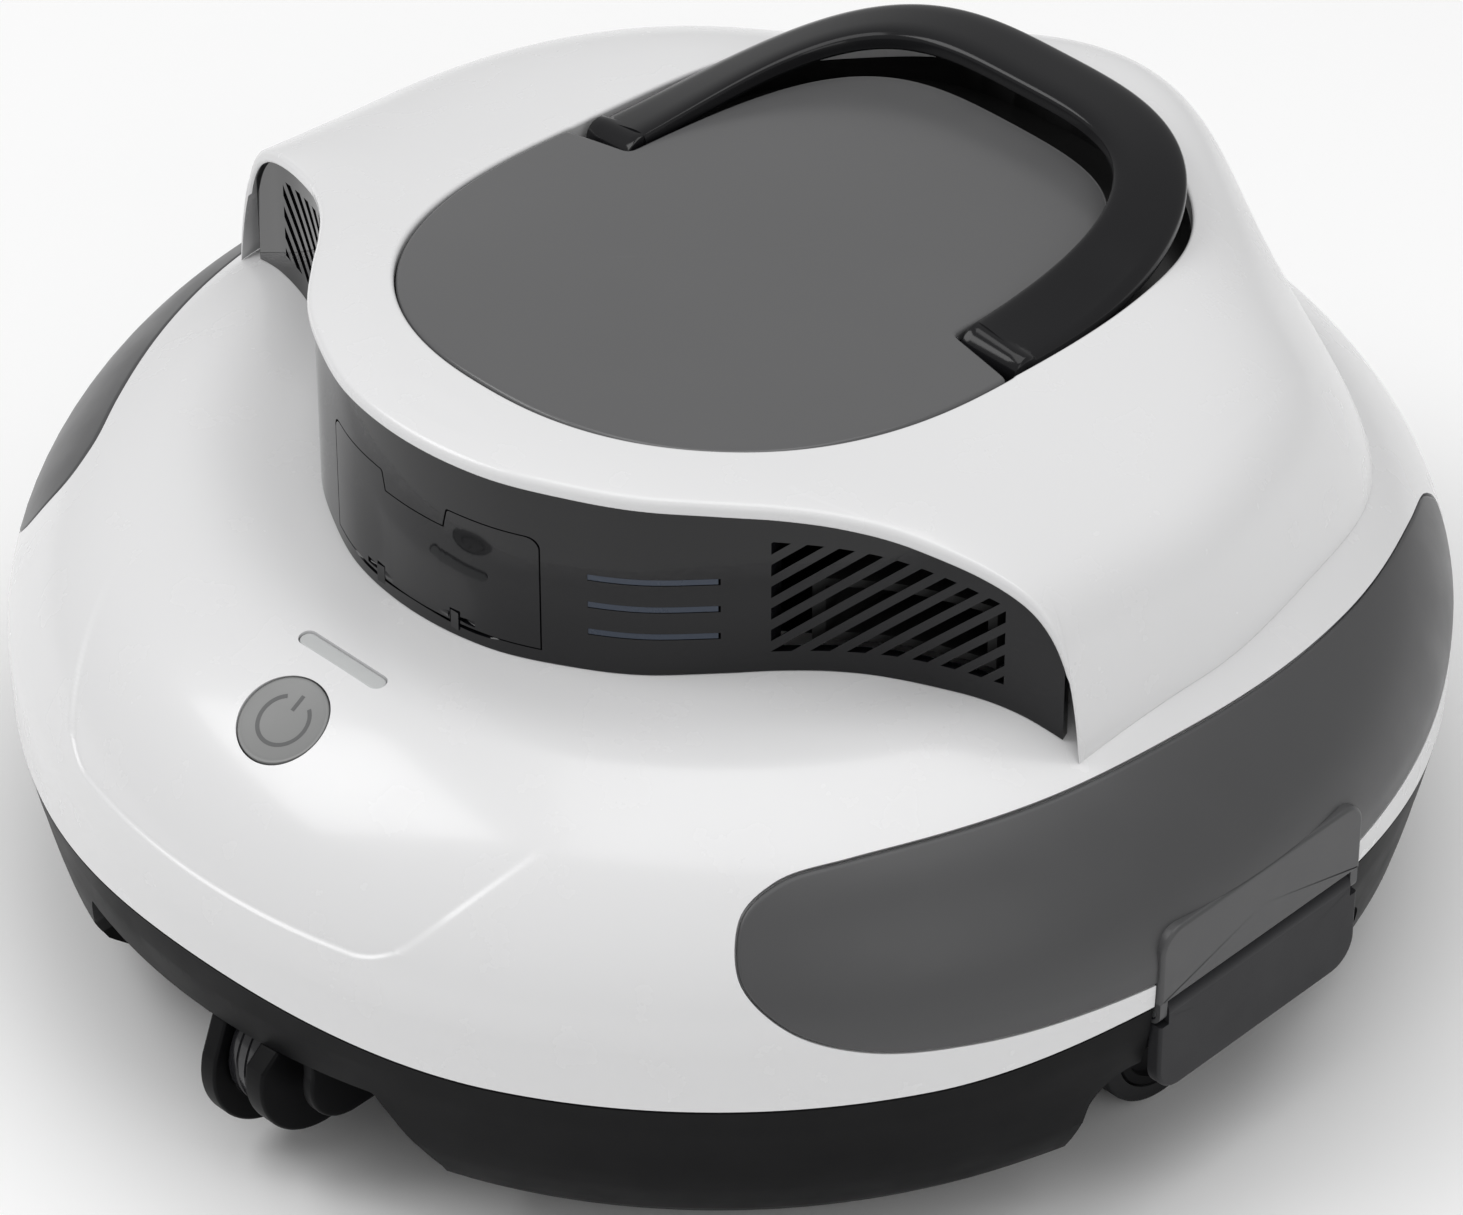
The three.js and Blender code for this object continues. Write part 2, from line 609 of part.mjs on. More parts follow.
function upperShell() {
  let made = domeSolid(0, lower).subtract(domeSolid(SHELL, 20));
  made = made.subtract(prism('z', superOval(DECK_HOLE, 20, 48), [120, 160]));
  const recess = domeSolid(-1, 50).subtract(domeSolid(2.4, 40)).intersect(prism('x', panelOutline(GAP), [60, 210]));
  for (const side of [recess, mirrored(recess), padSpace, mirrored(padSpace)]) made = made.subtract(side);
  for (const x of [-PUMP.x, PUMP.x]) made = made.subtract(rod('z', 25, [120, 160], [x, PUMP.y], 32));
  made = made.subtract(block([-15.6, 15.6], [-145.2, -139.8], [130, 145]));
  for (const x of [-13.2, 13.2]) made = made.add(atButton(rod('z', 2.5, [-10.8, -2.4], [x, 13], 12)));
  return made.subtract(atButton(rod('z', 13.1, [-10, 10], [0, 0], 24)));
}
add('upper_shell', upperShell(), WHITE);

// Closing plate of the upper unit, with an eye under each pump.
function unitFloor() {
  let made = stack([bodyRing(190, 67.5), bodyRing(190, 70.5)]);
  made = made.subtract(block([172, 210], [-45, 45], [60, 80])).subtract(block([-210, -172], [-45, 45], [60, 80]));
  for (const x of [-PUMP.x, PUMP.x]) made = made.subtract(rod('z', 19, [60, 80], [x, PUMP.y], 32));
  return made;
}
add('unit_floor', unitFloor(), BLACK);

// Hood.
function holeOutline(grow) {
  const front = superOval(OVAL, HOOD_Y, 48, 0.4 + grow, Math.PI / 2).filter(([, y]) => y < HOOD_Y + 8);
  const rear = superOval(GRIP_OUT, HOOD_Y, 56, 1.6 + grow, -Math.PI / 2).filter(([, y]) => y > HOOD_Y + 8);
  return [...rear, ...front];
}

function hood() {
  const lip = fascia(-LIP_OVERHANG);
  const ahead = [[175, -33], ...lip.slice().reverse(), [-175, -33], [-175, -320], [175, -320]];
  let made = hoodSolid(0).subtract(hoodSolid(HOOD_T));
  made = made.subtract(prism('z', ahead.reverse(), [90, 230]));
  made = made.subtract(prism('z', holeOutline(0), [150, 230]));
  return made.subtract(domeSolid(-GAP, 20));
}
add('top_cover', hood(), WHITE);

// Black tray under the handle and the grey panel.
const panelZ = (x, y) => 189.4 - 2.78 * (x / 60) ** 2 - (4.83 * (y - HOOD_Y)) / 60;
const OVER = [[-96, 96], [-100, 140], [6, 8]];

function topTray() {
  const outer = prism('z', holeOutline(3.4), [120, 230]);
  const inner = prism('z', holeOutline(1.2), [120, 230]);
  const plateTop = under((x, y) => panelZ(x, y) - CHANNEL, ...OVER);
  const plateBottom = under((x, y) => panelZ(x, y) - CHANNEL - 2.5, ...OVER);
  let made = outer.intersect(hoodSolid(HOOD_T + 0.6)).subtract(plateBottom);
  made = made.subtract(inner.subtract(plateTop));
  const ear = block([55.6, 59.6], [22.5, 34.5], [165, 182.3]).subtract(plateBottom);
  made = made.add(ear).add(mirrored(ear));
  return made.subtract(rod('x', 2.1, [-90, 90], [HINGE_Y, HINGE_Z], 12));
}
add('top_tray', topTray(), BLACK);

function topPanelOutline(shrink) {
  const edge = 19.7 - shrink;
  const front = superOval(OVAL, HOOD_Y, 48, -shrink, Math.PI / 2).filter(([, y]) => y < edge - 0.5);
  const rear = superOval(GRIP_IN, HOOD_Y, 56, -0.6 - shrink, -Math.PI / 2).filter(([, y]) => y > edge + 0.5);
  const corner = (x) => [x, edge];
  const left = GRIP_IN.a - 0.6 - shrink;
  const wide = OVAL.a - shrink - 0.2;
  return [corner(left), ...rear, corner(-left), corner(-wide), ...front, corner(wide)];
}

function topPanel() {
  const floor = under((x, y) => panelZ(x, y) - CHANNEL + GAP, ...OVER);
  const top = under(panelZ, ...OVER);
  const core = under((x, y) => panelZ(x, y) - 2.5, ...OVER);
  const shape = prism('z', topPanelOutline(0), [120, 230]);
  const hollow = prism('z', topPanelOutline(2.5), [120, 230]).intersect(core);
  const earRoom = block([52, 60.5], [20.2, 36], [150, 182.7]);
  return shape.intersect(top).subtract(hollow).subtract(floor).subtract(earRoom).subtract(mirrored(earRoom));
}
add('top_panel', topPanel(), TOP_GREY);

// Carrying handle: a bail that lies in the tray and folds up about its two ends.
function gripPoint({ a, b, n }, t) {
  const c = Math.cos(t);
  return [a * Math.sign(c) * Math.abs(c) ** (2 / n), HOOD_Y + b * Math.abs(Math.sin(t)) ** (2 / n)];
}

const gripInZ = (y) => 188.2 + 0.001 * (y - 21) ** 2;
const gripOutZ = (y) => 184.4 - 0.11 * (y - 21) + 0.0019 * (y - 21) ** 2;

function handle() {
  const count = 28;
  const start = Math.asin(((HINGE_Y - HOOD_Y) / GRIP_IN.b) ** (GRIP_IN.n / 2));
  const startOut = Math.asin(((HINGE_Y - HOOD_Y) / GRIP_OUT.b) ** (GRIP_OUT.n / 2));
  const rings = [];
  for (let i = 0; i <= count; i++) {
    const inner = gripPoint(GRIP_IN, THREE.MathUtils.lerp(start, Math.PI - start, i / count));
    const outer = gripPoint(GRIP_OUT, THREE.MathUtils.lerp(startOut, Math.PI - startOut, i / count));
    rings.push([
      [...inner, gripInZ(inner[1])],
      [...outer, gripOutZ(outer[1])],
      [...outer, gripOutZ(outer[1]) - 6],
      [...inner, gripInZ(inner[1]) - 7.5],
    ]);
  }
  const bow = stack(rings);
  let made = bow;
  for (const side of [1, -1]) {
    const end = stack([
      circle(7.3, [HINGE_Y, HINGE_Z], 24).map(([y, z]) => [side * 61.2, y, z]),
      circle(4.6, [HINGE_Y, HINGE_Z], 24).map(([y, z]) => [side * 79.9, y, z]),
    ]);
    made = made.add(end);
  }
  const pivot = rod('x', 2.1, [58, 79.2], [HINGE_Y, HINGE_Z], 12);
  return made.subtract(pivot).subtract(mirrored(pivot));
}
add('carry_handle', handle(), GLOSS_BLACK);
addPair('handle_pin', rod('x', 1.8, [55.8, 78.8], [HINGE_Y, HINGE_Z], 12), STEEL);

// Fascia band with the door opening, the outlet slots and three light slots.
const LIGHT_X = [48.8, 74.2];
const LIGHT_Z = [167.7, 159, 150.3];
const VENT_FIELD = [[144.4, 82.8], [180.4, 82.8], [176, 103.8], [170.6, 134.4], [144.4, 134.4]];   // (z, x)
const VENT_SLOTS = 13;
const VENT_X = [67.3, 151];          // slot centres at mid height, first and last
const VENT_WIDTH = 2.6;
const VENT_LEAN = 45;                // degrees from upright, top outward
const BAND_END = 150.8;

function bandPiece(from, to, count, zs, offset = 0, thickness = BAND_T) {
  const ts = [fasciaAt(from), fasciaAt(to)];
  return wall(fascia(offset, ...ts, count), fascia(offset + thickness, ...ts, count), () => zs[0], () => zs[1]);
}

function doorOutline(grow) {
  const side = DOOR_HALF + grow;
  const top = DOOR_Z[1] + grow;
  const notch = NOTCH_Z + grow;
  const r = 3.5;
  return [
    [DOOR_Z[0] - grow, -side], [DOOR_Z[0] - grow, side], [top - r, side], [top - 1, side - 1], [top, side - r],
    [top, 12.4 - grow], [notch, 10.9 - grow], [notch, -10.9 + grow], [top, -12.4 + grow],
    [top, -side + r], [top - 1, -side + 1], [top - r, -side],
  ];
}

const doorPrism = (grow) => prism('y', doorOutline(grow), [-135, -100]);
const doorRod = (radius, xs, count) => rod('x', radius, xs, [DOOR_HINGE.y, DOOR_HINGE.z], count);

// Slanted slots that fill the vent field.
function ventSlots() {
  const slots = [];
  for (let i = 0; i < VENT_SLOTS; i++) {
    const x = THREE.MathUtils.lerp(...VENT_X, i / (VENT_SLOTS - 1));
    const slot = block([x - VENT_WIDTH / 2, x + VENT_WIDTH / 2], [-110, -20], [110, 214]);
    slots.push(turned([0, 1, 0], THREE.MathUtils.degToRad(VENT_LEAN), [x, 0, 162], slot));
  }
  return union(...slots).intersect(prism('y', VENT_FIELD, [-110, -20]));
}

function band() {
  const top = (x, y) => hoodZ(x, y, HOOD_T) + 1;
  const bottom = (x, y) => domeZ(x, y) + 0.5;
  const ends = [fasciaAt(-BAND_END), fasciaAt(BAND_END)];
  let made = wall(fascia(0, ...ends, 40), fascia(BAND_T, ...ends, 40), bottom, top)
    .intersect(hoodSolid(HOOD_T + 0.5));
  made = made.subtract(doorPrism(0.4)).subtract(doorRod(2.85, [-DOOR_HALF, DOOR_HALF], 24));
  made = made.subtract(ventSlots()).subtract(mirrored(ventSlots()));
  for (const z of LIGHT_Z) {
    made = made.subtract(bandPiece(LIGHT_X[0] - 0.4, LIGHT_X[1] + 0.4, 8, [z - 1.2, z + 1.2], -1, 5));
  }
  for (const x of [-15.2, 12.4]) {
    const lug = block([x, x + 2.8], [DOOR_HINGE.y - 1.2, DOOR_HINGE.y + 1.2], [139.6, 145.2]);
    made = made.add(lug.intersect(behindFascia(0.2)));
  }
  return made.subtract(doorRod(0.9, [-14, 14], 12));
}
add('front_band', band(), GLOSS_BLACK);

LIGHT_Z.forEach((z, i) => {
  const name = ['upper', 'middle', 'lower'][i];
  add(`led_bar_${name}`, bandPiece(...LIGHT_X, 6, [z - 0.8, z + 0.8], 0.1, 1.8), LIGHT);
});

function door() {
  const swing = DOOR_Z[1] - DOOR_HINGE.z + 0.35;
  let made = bandPiece(-DOOR_HALF - 2, DOOR_HALF + 2, 16, [140, 180]).intersect(doorPrism(0));
  made = made.intersect(doorRod(swing, [-50, 50], 160));
  for (const x of [-15.5, 12.1]) made = made.subtract(block([x, x + 3.4], [-121, -106], [139, 145.7]));
  made = made.add(doorRod(1.6, [-11.8, 11.8], 16));
  return made.subtract(doorRod(0.9, [-20, 20], 12));
}
add('charge_door', door(), GLOSS_BLACK);
add('door_pin', doorRod(0.6, [-13.8, 13.8], 12), STEEL);

// Charging recess behind the door.
function chargePort() {
  const shape = block([-32, 32], [-116.2, -86.2], [147.2, 175]).intersect(behindFascia(BAND_T + 0.5));
  return shape.subtract(block([-28, 28], [-121, -91.2], [150, 172]));
}
add('charge_port', chargePort(), BLACK);
const socket = union(rod('y', 8, [-98.2, -91.5], [161, 0]), rod('y', 2, [-103.2, -96.2], [161, 0], 12))
  .subtract(rod('y', 6.2, [-99.2, -93.7], [161, 0]).subtract(rod('y', 2, [-103.2, -91], [161, 0], 12)));
add('charge_socket', socket, BRASS);

// Status window and power button on the deck.
const windowPiece = block([-15.3, 15.3], [-144.9, -140.1], [130, 150])
  .intersect(domeSolid(0.3, 50)).subtract(domeSolid(3.5, 50));
add('status_window', windowPiece, LENS);
const buttonBody = union(rod('z', BUTTON.r, [-6.6, -0.1], [0, 0], 24), rod('z', 14.4, [-8, -6.5], [0, 0], 24));
add('power_button', atButton(buttonBody), BUTTON_GREY);
const switchBoard = union(
  block([-16, 16], [-9, 16], [-12.6, -11.1]),
  rod('z', 4, [-11.2, -8.2 - BUTTON.travel], [0, 0], 12));
add('switch_board', atButton(switchBoard), BOARD);

// Side latches, hinged at the top edge.
function latch() {
  const r = 9;
  const points = [];
  for (let i = 0; i <= 4; i++) {
    const t = Math.PI + (Math.PI / 2) * (i / 4);
    points.push([-LATCH_HALF + r + r * Math.cos(t), LATCH_Z[0] + r + r * Math.sin(t)]);
  }
  for (let i = 0; i <= 4; i++) {
    const t = 1.5 * Math.PI + (Math.PI / 2) * (i / 4);
    points.push([LATCH_HALF - r + r * Math.cos(t), LATCH_Z[0] + r + r * Math.sin(t)]);
  }
  points.push([LATCH_HALF, LATCH_PIN[1]], [-LATCH_HALF, LATCH_PIN[1]]);
  const plate = prism('x', points, [LATCH_X - 4, LATCH_X]);
  const hollow = block([LATCH_X - 5, LATCH_X - 2.2], [-LATCH_HALF + 4, LATCH_HALF - 4], [50, 60]);
  const inner = LUG[0] - GAP;
  const corner = block([180, 200], [inner, 45], [LATCH_PIN[1] - 3.6, 80]);
  const farCorner = block([180, 200], [-45, -inner], [LATCH_PIN[1] - 3.6, 80]);
  const barrel = rod('y', 3.6, [-inner, inner], [LATCH_PIN[1], latchPinX]);
  return plate.subtract(hollow).add(barrel)
    .subtract(corner).subtract(farCorner)
    .subtract(rod('y', 1.8, [-50, 50], [LATCH_PIN[1], latchPinX], 12));
}
addPair('latch', latch(), BLACK);
addPair('latch_pin', rod('y', 1.5, [-38.5, 38.5], [LATCH_PIN[1], latchPinX], 12), STEEL);

// Dry housing with the battery and the control board.
const housing = block([-60, 60], [-80, 80], [70.8, 125]).subtract(block([-57, 57], [-77, 77], [74, 140]));
add('motor_housing', housing, BLACK);
add('housing_seal', block([-60, 60], [-80, 80], [125.3, 126.8])
  .subtract(block([-57.5, 57.5], [-77.5, 77.5], [120, 140])), RUBBER);
add('housing_lid', block([-60, 60], [-80, 80], [127.1, 131]), BLACK);
add('battery_pack', block([-50, 50], [-72, 18], [74.3, 116]), CELL);
const board = union(
  block([-50, 50], [24, 73], [80, 81.6]),
  block([-34, -10], [34, 60], [81, 90]),
  block([8, 20], [30, 68], [81, 96]));
add('control_board', board, BOARD);

// Pumps: motor and impeller in a duct that turns forward to the outlet slots.
function pumpDuct() {
  const outer = union(
    rod('z', 24, [70.8, 165.6], [PUMP.x, PUMP.y], 28),
    block([88, 130], [-76, PUMP.y], [146, 165.6]));
  const inner = union(
    rod('z', 21.5, [60, 163.1], [PUMP.x, PUMP.y], 28),
    block([90.5, 127.5], [-90, PUMP.y], [148.5, 163.1]));
  const inside = prism('z', superOval({ a: 150, b: 400, n: 8 }, 0, 48), [60, 200]);
  return outer.subtract(inner).intersect(inside).intersect(union(
    behindFascia(BAND_T + 0.5), block([60, 160], [-30, 80], [60, 120])));
}
addPair('pump_duct', pumpDuct(), BLACK);

function pumpMotor() {
  let made = rod('z', 14, [94, 138], [PUMP.x, PUMP.y]);
  for (const angle of [0, 120, 240]) {
    const spoke = block([PUMP.x + 12, PUMP.x + 21], [PUMP.y - 1.5, PUMP.y + 1.5], [112, 122]);
    made = made.add(turned(UP, THREE.MathUtils.degToRad(angle), [PUMP.x, PUMP.y, 0], spoke));
  }
  return made.subtract(rod('z', 2.8, [90, 106], [PUMP.x, PUMP.y], 16));
}
addPair('pump_motor', pumpMotor(), STEEL);

function impeller() {
  let made = union(rod('z', 6, [76, 90], [PUMP.x, PUMP.y]), rod('z', 2.5, [88, 105], [PUMP.x, PUMP.y], 16));
  const blades = 5;
  for (let i = 0; i < blades; i++) {
    const blade = block([PUMP.x + 4, PUMP.x + 20], [PUMP.y - 0.9, PUMP.y + 0.9], [77, 89]);
    const pitched = turned([1, 0, 0], THREE.MathUtils.degToRad(38), [PUMP.x, PUMP.y, 83], blade);
    made = made.add(turned(UP, (2 * Math.PI * i) / blades, [PUMP.x, PUMP.y, 0], pitched));
  }
  return made;
}
addPair('impeller', impeller(), BLACK);

export default model;
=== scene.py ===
"""Looks of the pool cleaner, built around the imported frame. Lengths below are in millimetres."""

import json
import math

import bpy
import numpy as np
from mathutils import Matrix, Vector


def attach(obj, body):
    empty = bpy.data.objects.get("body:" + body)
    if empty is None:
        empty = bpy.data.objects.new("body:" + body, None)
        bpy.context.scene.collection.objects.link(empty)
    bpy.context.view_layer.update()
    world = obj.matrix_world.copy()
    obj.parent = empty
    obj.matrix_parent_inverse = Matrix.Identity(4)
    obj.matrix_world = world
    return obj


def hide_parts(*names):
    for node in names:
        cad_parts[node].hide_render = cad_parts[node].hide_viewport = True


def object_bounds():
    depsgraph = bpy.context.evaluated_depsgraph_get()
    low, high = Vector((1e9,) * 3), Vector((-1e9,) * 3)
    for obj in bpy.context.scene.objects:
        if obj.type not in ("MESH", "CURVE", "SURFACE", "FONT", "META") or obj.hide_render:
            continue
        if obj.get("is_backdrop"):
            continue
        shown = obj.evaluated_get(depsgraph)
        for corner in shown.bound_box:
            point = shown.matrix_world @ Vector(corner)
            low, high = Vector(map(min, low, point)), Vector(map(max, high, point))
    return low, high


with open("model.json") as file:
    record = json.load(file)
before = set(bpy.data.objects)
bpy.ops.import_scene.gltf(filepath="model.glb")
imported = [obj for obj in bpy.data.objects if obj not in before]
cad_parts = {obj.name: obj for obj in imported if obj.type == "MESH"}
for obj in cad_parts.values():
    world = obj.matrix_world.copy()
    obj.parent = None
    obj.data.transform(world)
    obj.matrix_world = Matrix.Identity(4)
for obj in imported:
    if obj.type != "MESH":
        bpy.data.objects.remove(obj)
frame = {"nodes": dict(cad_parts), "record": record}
cad_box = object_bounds()
NODES = frame["nodes"]
MM = 0.001
TOP_LIMIT = 198.28     # highest point of the frame
X, Y, Z = 0, 1, 2


# ---- mesh helpers -----------------------------------------------------------
def make(name, points, faces):
    points = np.asarray(points, float)
    mesh = bpy.data.meshes.new(name)
    mesh.from_pydata((points * MM).tolist(), [], faces)
    mesh.update()
    obj = bpy.data.objects.new(name, mesh)
    bpy.context.scene.collection.objects.link(obj)
    if signed_volume(points, faces) < 0:
        mesh.flip_normals()
    return obj


def signed_volume(points, faces):
    total = 0.0
    by_size = {}
    for face in faces:
        by_size.setdefault(len(face), []).append(face)
    for size, group in by_size.items():
        corners = points[np.asarray(group)]
        for k in range(1, size - 1):
            total += np.einsum("ij,ij->i", corners[:, 0], np.cross(corners[:, k], corners[:, k + 1])).sum()
    return total


def loft(name, rings, closed=False):
    """A skin through equal rings: the end rings get fans, or the last ring joins the first."""
    rings = np.asarray(rings, float)
    count, size = rings.shape[:2]
    points = rings.reshape(-1, 3)
    spans = count if closed else count - 1
    r, i = np.meshgrid(np.arange(spans), np.arange(size), indexing="ij")
    after = (r + 1) % count
    step = (i + 1) % size
    quads = np.stack([r * size + i, r * size + step, after * size + step, after * size + i], -1)
    faces = quads.reshape(-1, 4).tolist()
    if not closed:
        for ring, flip in ((0, True), (count - 1, False)):
            apex = len(points)
            points = np.vstack([points, rings[ring].mean(0)])
            for k in range(size):
                a, b = ring * size + k, ring * size + (k + 1) % size
                faces.append([b, a, apex] if flip else [a, b, apex])
    return make(name, points, faces)


def along(axis, u, v, w):
    """Outline points are (y, z) for axis x, (z, x) for axis y and (x, y) for axis z; w runs along the axis."""
    u, v, w = np.broadcast_arrays(np.asarray(u, float), np.asarray(v, float), np.asarray(w, float))
    order = {"x": (w, u, v), "y": (v, w, u), "z": (u, v, w)}[axis]
    return np.stack(order, -1)


def prism(axis, outline, span, name="cutter"):
    outline = np.asarray(outline, float)
    n = len(outline)
    ends = [along(axis, outline[:, 0], outline[:, 1], w) for w in span]
    faces = [[k, (k + 1) % n, n + (k + 1) % n, n + k] for k in range(n)]
    faces += [list(range(n))[::-1], list(range(n, 2 * n))]
    return make(name, np.vstack(ends), faces)


def box_piece(xs, ys, zs, name="cutter"):
    return prism("z", [(xs[0], ys[0]), (xs[1], ys[0]), (xs[1], ys[1]), (xs[0], ys[1])], zs, name)


def circle(radius, centre=(0, 0), count=48):
    t = np.linspace(0, 2 * np.pi, count, endpoint=False)
    return np.stack([centre[0] + radius * np.cos(t), centre[1] + radius * np.sin(t)], -1)


def rod(axis, radius, span, centre=(0, 0), count=48, name="cutter"):
    return prism(axis, circle(radius, centre, count), span, name)


def lathe(name, axis, profile, centre, count=96):
    """Profile points are (radius, place along the axis)."""
    rings = []
    for radius, place in profile:
        ring = circle(max(radius, 1e-3), centre, count)
        rings.append(along(axis, ring[:, 0], ring[:, 1], place))
    return loft(name, rings)


def normals2d(outline):
    before, after = np.roll(outline, 1, 0), np.roll(outline, -1, 0)
    tangent = after - before
    tangent /= np.linalg.norm(tangent, axis=1)[:, None]
    side = np.stack([tangent[:, 1], -tangent[:, 0]], -1)
    area = 0.5 * np.sum(outline[:, 0] * np.roll(outline[:, 1], -1) - np.roll(outline[:, 0], -1) * outline[:, 1])
    return side if area > 0 else -side


def even(points, count, closed=True):
    """The same outline with evenly spaced points."""
    points = np.asarray(points, float)
    if closed:
        points = np.vstack([points, points[:1]])
    length = np.concatenate([[0], np.cumsum(np.linalg.norm(np.diff(points, axis=0), axis=1))])
    at = np.linspace(0, length[-1], count, endpoint=not closed)
    return np.stack([np.interp(at, length, points[:, k]) for k in range(points.shape[1])], -1)


def softened(outline, passes):
    for _ in range(passes):
        outline = 0.25 * np.roll(outline, 1, 0) + 0.5 * outline + 0.25 * np.roll(outline, -1, 0)
    return outline


def slab(name, outline, profile, place, centre=None, fill=9):
    """A plate with a shaped edge. Profile points are (outward offset, height); place maps (u, v, height) to 3-D."""
    outline = np.asarray(outline, float)
    out = normals2d(outline)
    centre = outline.mean(0) if centre is None else np.asarray(centre, float)
    shares = np.linspace(0, 1, fill + 1)[1:]
    rings = []
    first, last = profile[0], profile[-1]
    for share in shares[:-1]:
        ring = centre + share * (outline + first[0] * out - centre)
        rings.append(place(ring[:, 0], ring[:, 1], first[1]))
    for offset, height in profile:
        ring = outline + offset * out
        rings.append(place(ring[:, 0], ring[:, 1], height))
    for share in shares[:-1][::-1]:
        ring = centre + share * (outline + last[0] * out - centre)
        rings.append(place(ring[:, 0], ring[:, 1], last[1]))
    made = [np.asarray(ring, float) for ring in rings]
    size = len(outline)
    points = np.vstack(made)
    faces = []
    for r in range(len(made) - 1):
        for k in range(size):
            a, b = r * size + k, r * size + (k + 1) % size
            faces.append([a, b, b + size, a + size])
    for ring, height, flip in ((0, first[1], True), (len(made) - 1, last[1], False)):
        apex = len(points)
        points = np.vstack([points, np.asarray(place(centre[:1], centre[1:], height)).reshape(1, 3)])
        for k in range(size):
            a, b = ring * size + k, ring * size + (k + 1) % size
            faces.append([b, a, apex] if flip else [a, b, apex])
    return make(name, points, faces)


def rounded_edge(low, high, radius, steps=5):
    """Profile of a plate from low to high whose upper edge is rounded."""
    turn = np.linspace(0, math.pi / 2, steps)
    return [(0, low)] + [(radius * (math.cos(t) - 1), high - radius * (1 - math.sin(t))) for t in turn]


def both_edges(low, high, radius, steps=5):
    turn = np.linspace(0, math.pi / 2, steps)
    lower = [(radius * (math.sin(t) - 1), low + radius * (1 - math.cos(t))) for t in turn]
    upper = [(radius * (math.cos(t) - 1), high - radius * (1 - math.sin(t))) for t in turn]
    return lower + upper


def boolean(obj, other, operation="DIFFERENCE", keep=False):
    modifier = obj.modifiers.new("cut", "BOOLEAN")
    modifier.operation = operation
    modifier.solver = "MANIFOLD"
    modifier.object = other
    bpy.context.view_layer.update()
    depsgraph = bpy.context.evaluated_depsgraph_get()
    made = bpy.data.meshes.new_from_object(obj.evaluated_get(depsgraph))
    obj.modifiers.clear()
    old = obj.data
    obj.data = made
    bpy.data.meshes.remove(old)
    if not keep:
        bpy.data.objects.remove(other)
    return obj


def cut(obj, *others):
    for other in others:
        boolean(obj, other)
    return obj


def fuse(obj, *others):
    for other in others:
        boolean(obj, other, "UNION")
    return obj


def mirrored(obj, name, axes=(X,)):
    """A copy reflected in one axis, or turned half round when two axes are given."""
    copy = obj.copy()
    copy.data = obj.data.copy()
    copy.name = name
    copy.data.name = name
    bpy.context.scene.collection.objects.link(copy)
    co = np.zeros(len(copy.data.vertices) * 3, np.float32)
    copy.data.vertices.foreach_get("co", co)
    co = co.reshape(-1, 3)
    for axis in axes:
        co[:, axis] *= -1
    copy.data.vertices.foreach_set("co", co.ravel())
    if len(axes) % 2:
        copy.data.flip_normals()
    copy.data.update()
    return copy


def spline(keys, closed, count):
    """Centripetal Catmull-Rom curve through the keys."""
    keys = np.asarray(keys, float)
    n = len(keys)
    spans = n if closed else n - 1
    made = []
    for t in np.linspace(0, 1, count, endpoint=not closed):
        p = spans * t
        k = int(math.floor(p))
        weight = p - k
        if not closed and k >= n - 1:
            k, weight = n - 2, 1.0
        if closed:
            p0, p1, p2, p3 = (keys[(k + d) % n] for d in (-1, 0, 1, 2))
        else:
            p1, p2 = keys[k], keys[k + 1]
            p0 = keys[k - 1] if k > 0 else 2 * keys[0] - keys[1]
            p3 = keys[k + 2] if k + 2 < n else 2 * keys[-1] - keys[-2]
        d0, d1, d2 = (np.linalg.norm(b - a) ** 0.5 for a, b in ((p0, p1), (p1, p2), (p2, p3)))
        m1 = ((p1 - p0) / d0 - (p2 - p0) / (d0 + d1) + (p2 - p1) / d1) * d1
        m2 = ((p2 - p1) / d1 - (p3 - p1) / (d1 + d2) + (p3 - p2) / d2) * d1
        w = weight
        made.append(p1 + m1 * w + (-3 * p1 + 3 * p2 - 2 * m1 - m2) * w * w + (2 * p1 - 2 * p2 + m1 + m2) * w ** 3)
    return np.array(made)


def smoothstep(value, low, high):
    t = np.clip((np.asarray(value, float) - low) / (high - low), 0, 1)
    return t * t * (3 - 2 * t)


# ---- surfaces of the body, as in the frame ----------------------------------
DOME_R, DOME_Z, DOME_H, DOME_P, DOME_Q = 198.55, 84.25, 60.06, 5.18, 1.66
SQUASH = 0.98
PART_Z, PART_RISE = 66.0, 5.3
HOOD_Y, HOOD_A, HOOD_TOP = 12.2, 157.6, 186.5
LIP_OVERHANG = 1.6
BAND_T = 2.5


def deck_drop(r):
    return 4.7 * (1 - smoothstep(r, 118, 150))


def dome_z(x, y, inset=0.0):
    r = np.hypot(np.asarray(x, float) / SQUASH, y)
    rise = np.maximum(1e-6, 1 - (r / (DOME_R - inset)) ** DOME_P) ** (1 / DOME_Q)
    return DOME_Z + (DOME_H - inset) * rise - deck_drop(r)


def part_z(theta):
    c, s = np.abs(np.cos(theta)), np.abs(np.sin(theta))
    beside = c > math.sqrt(0.5)
    away = np.degrees(np.arcsin(np.minimum(1, np.where(beside, s, c))))
    fall = np.where(beside, smoothstep(away, 8, 30), smoothstep(away, 0, 27))
    return PART_Z + PART_RISE * (1 - fall)


def body_ring(theta, radius, z):
    return np.stack(np.broadcast_arrays(SQUASH * radius * np.cos(theta), radius * np.sin(theta), z), -1)


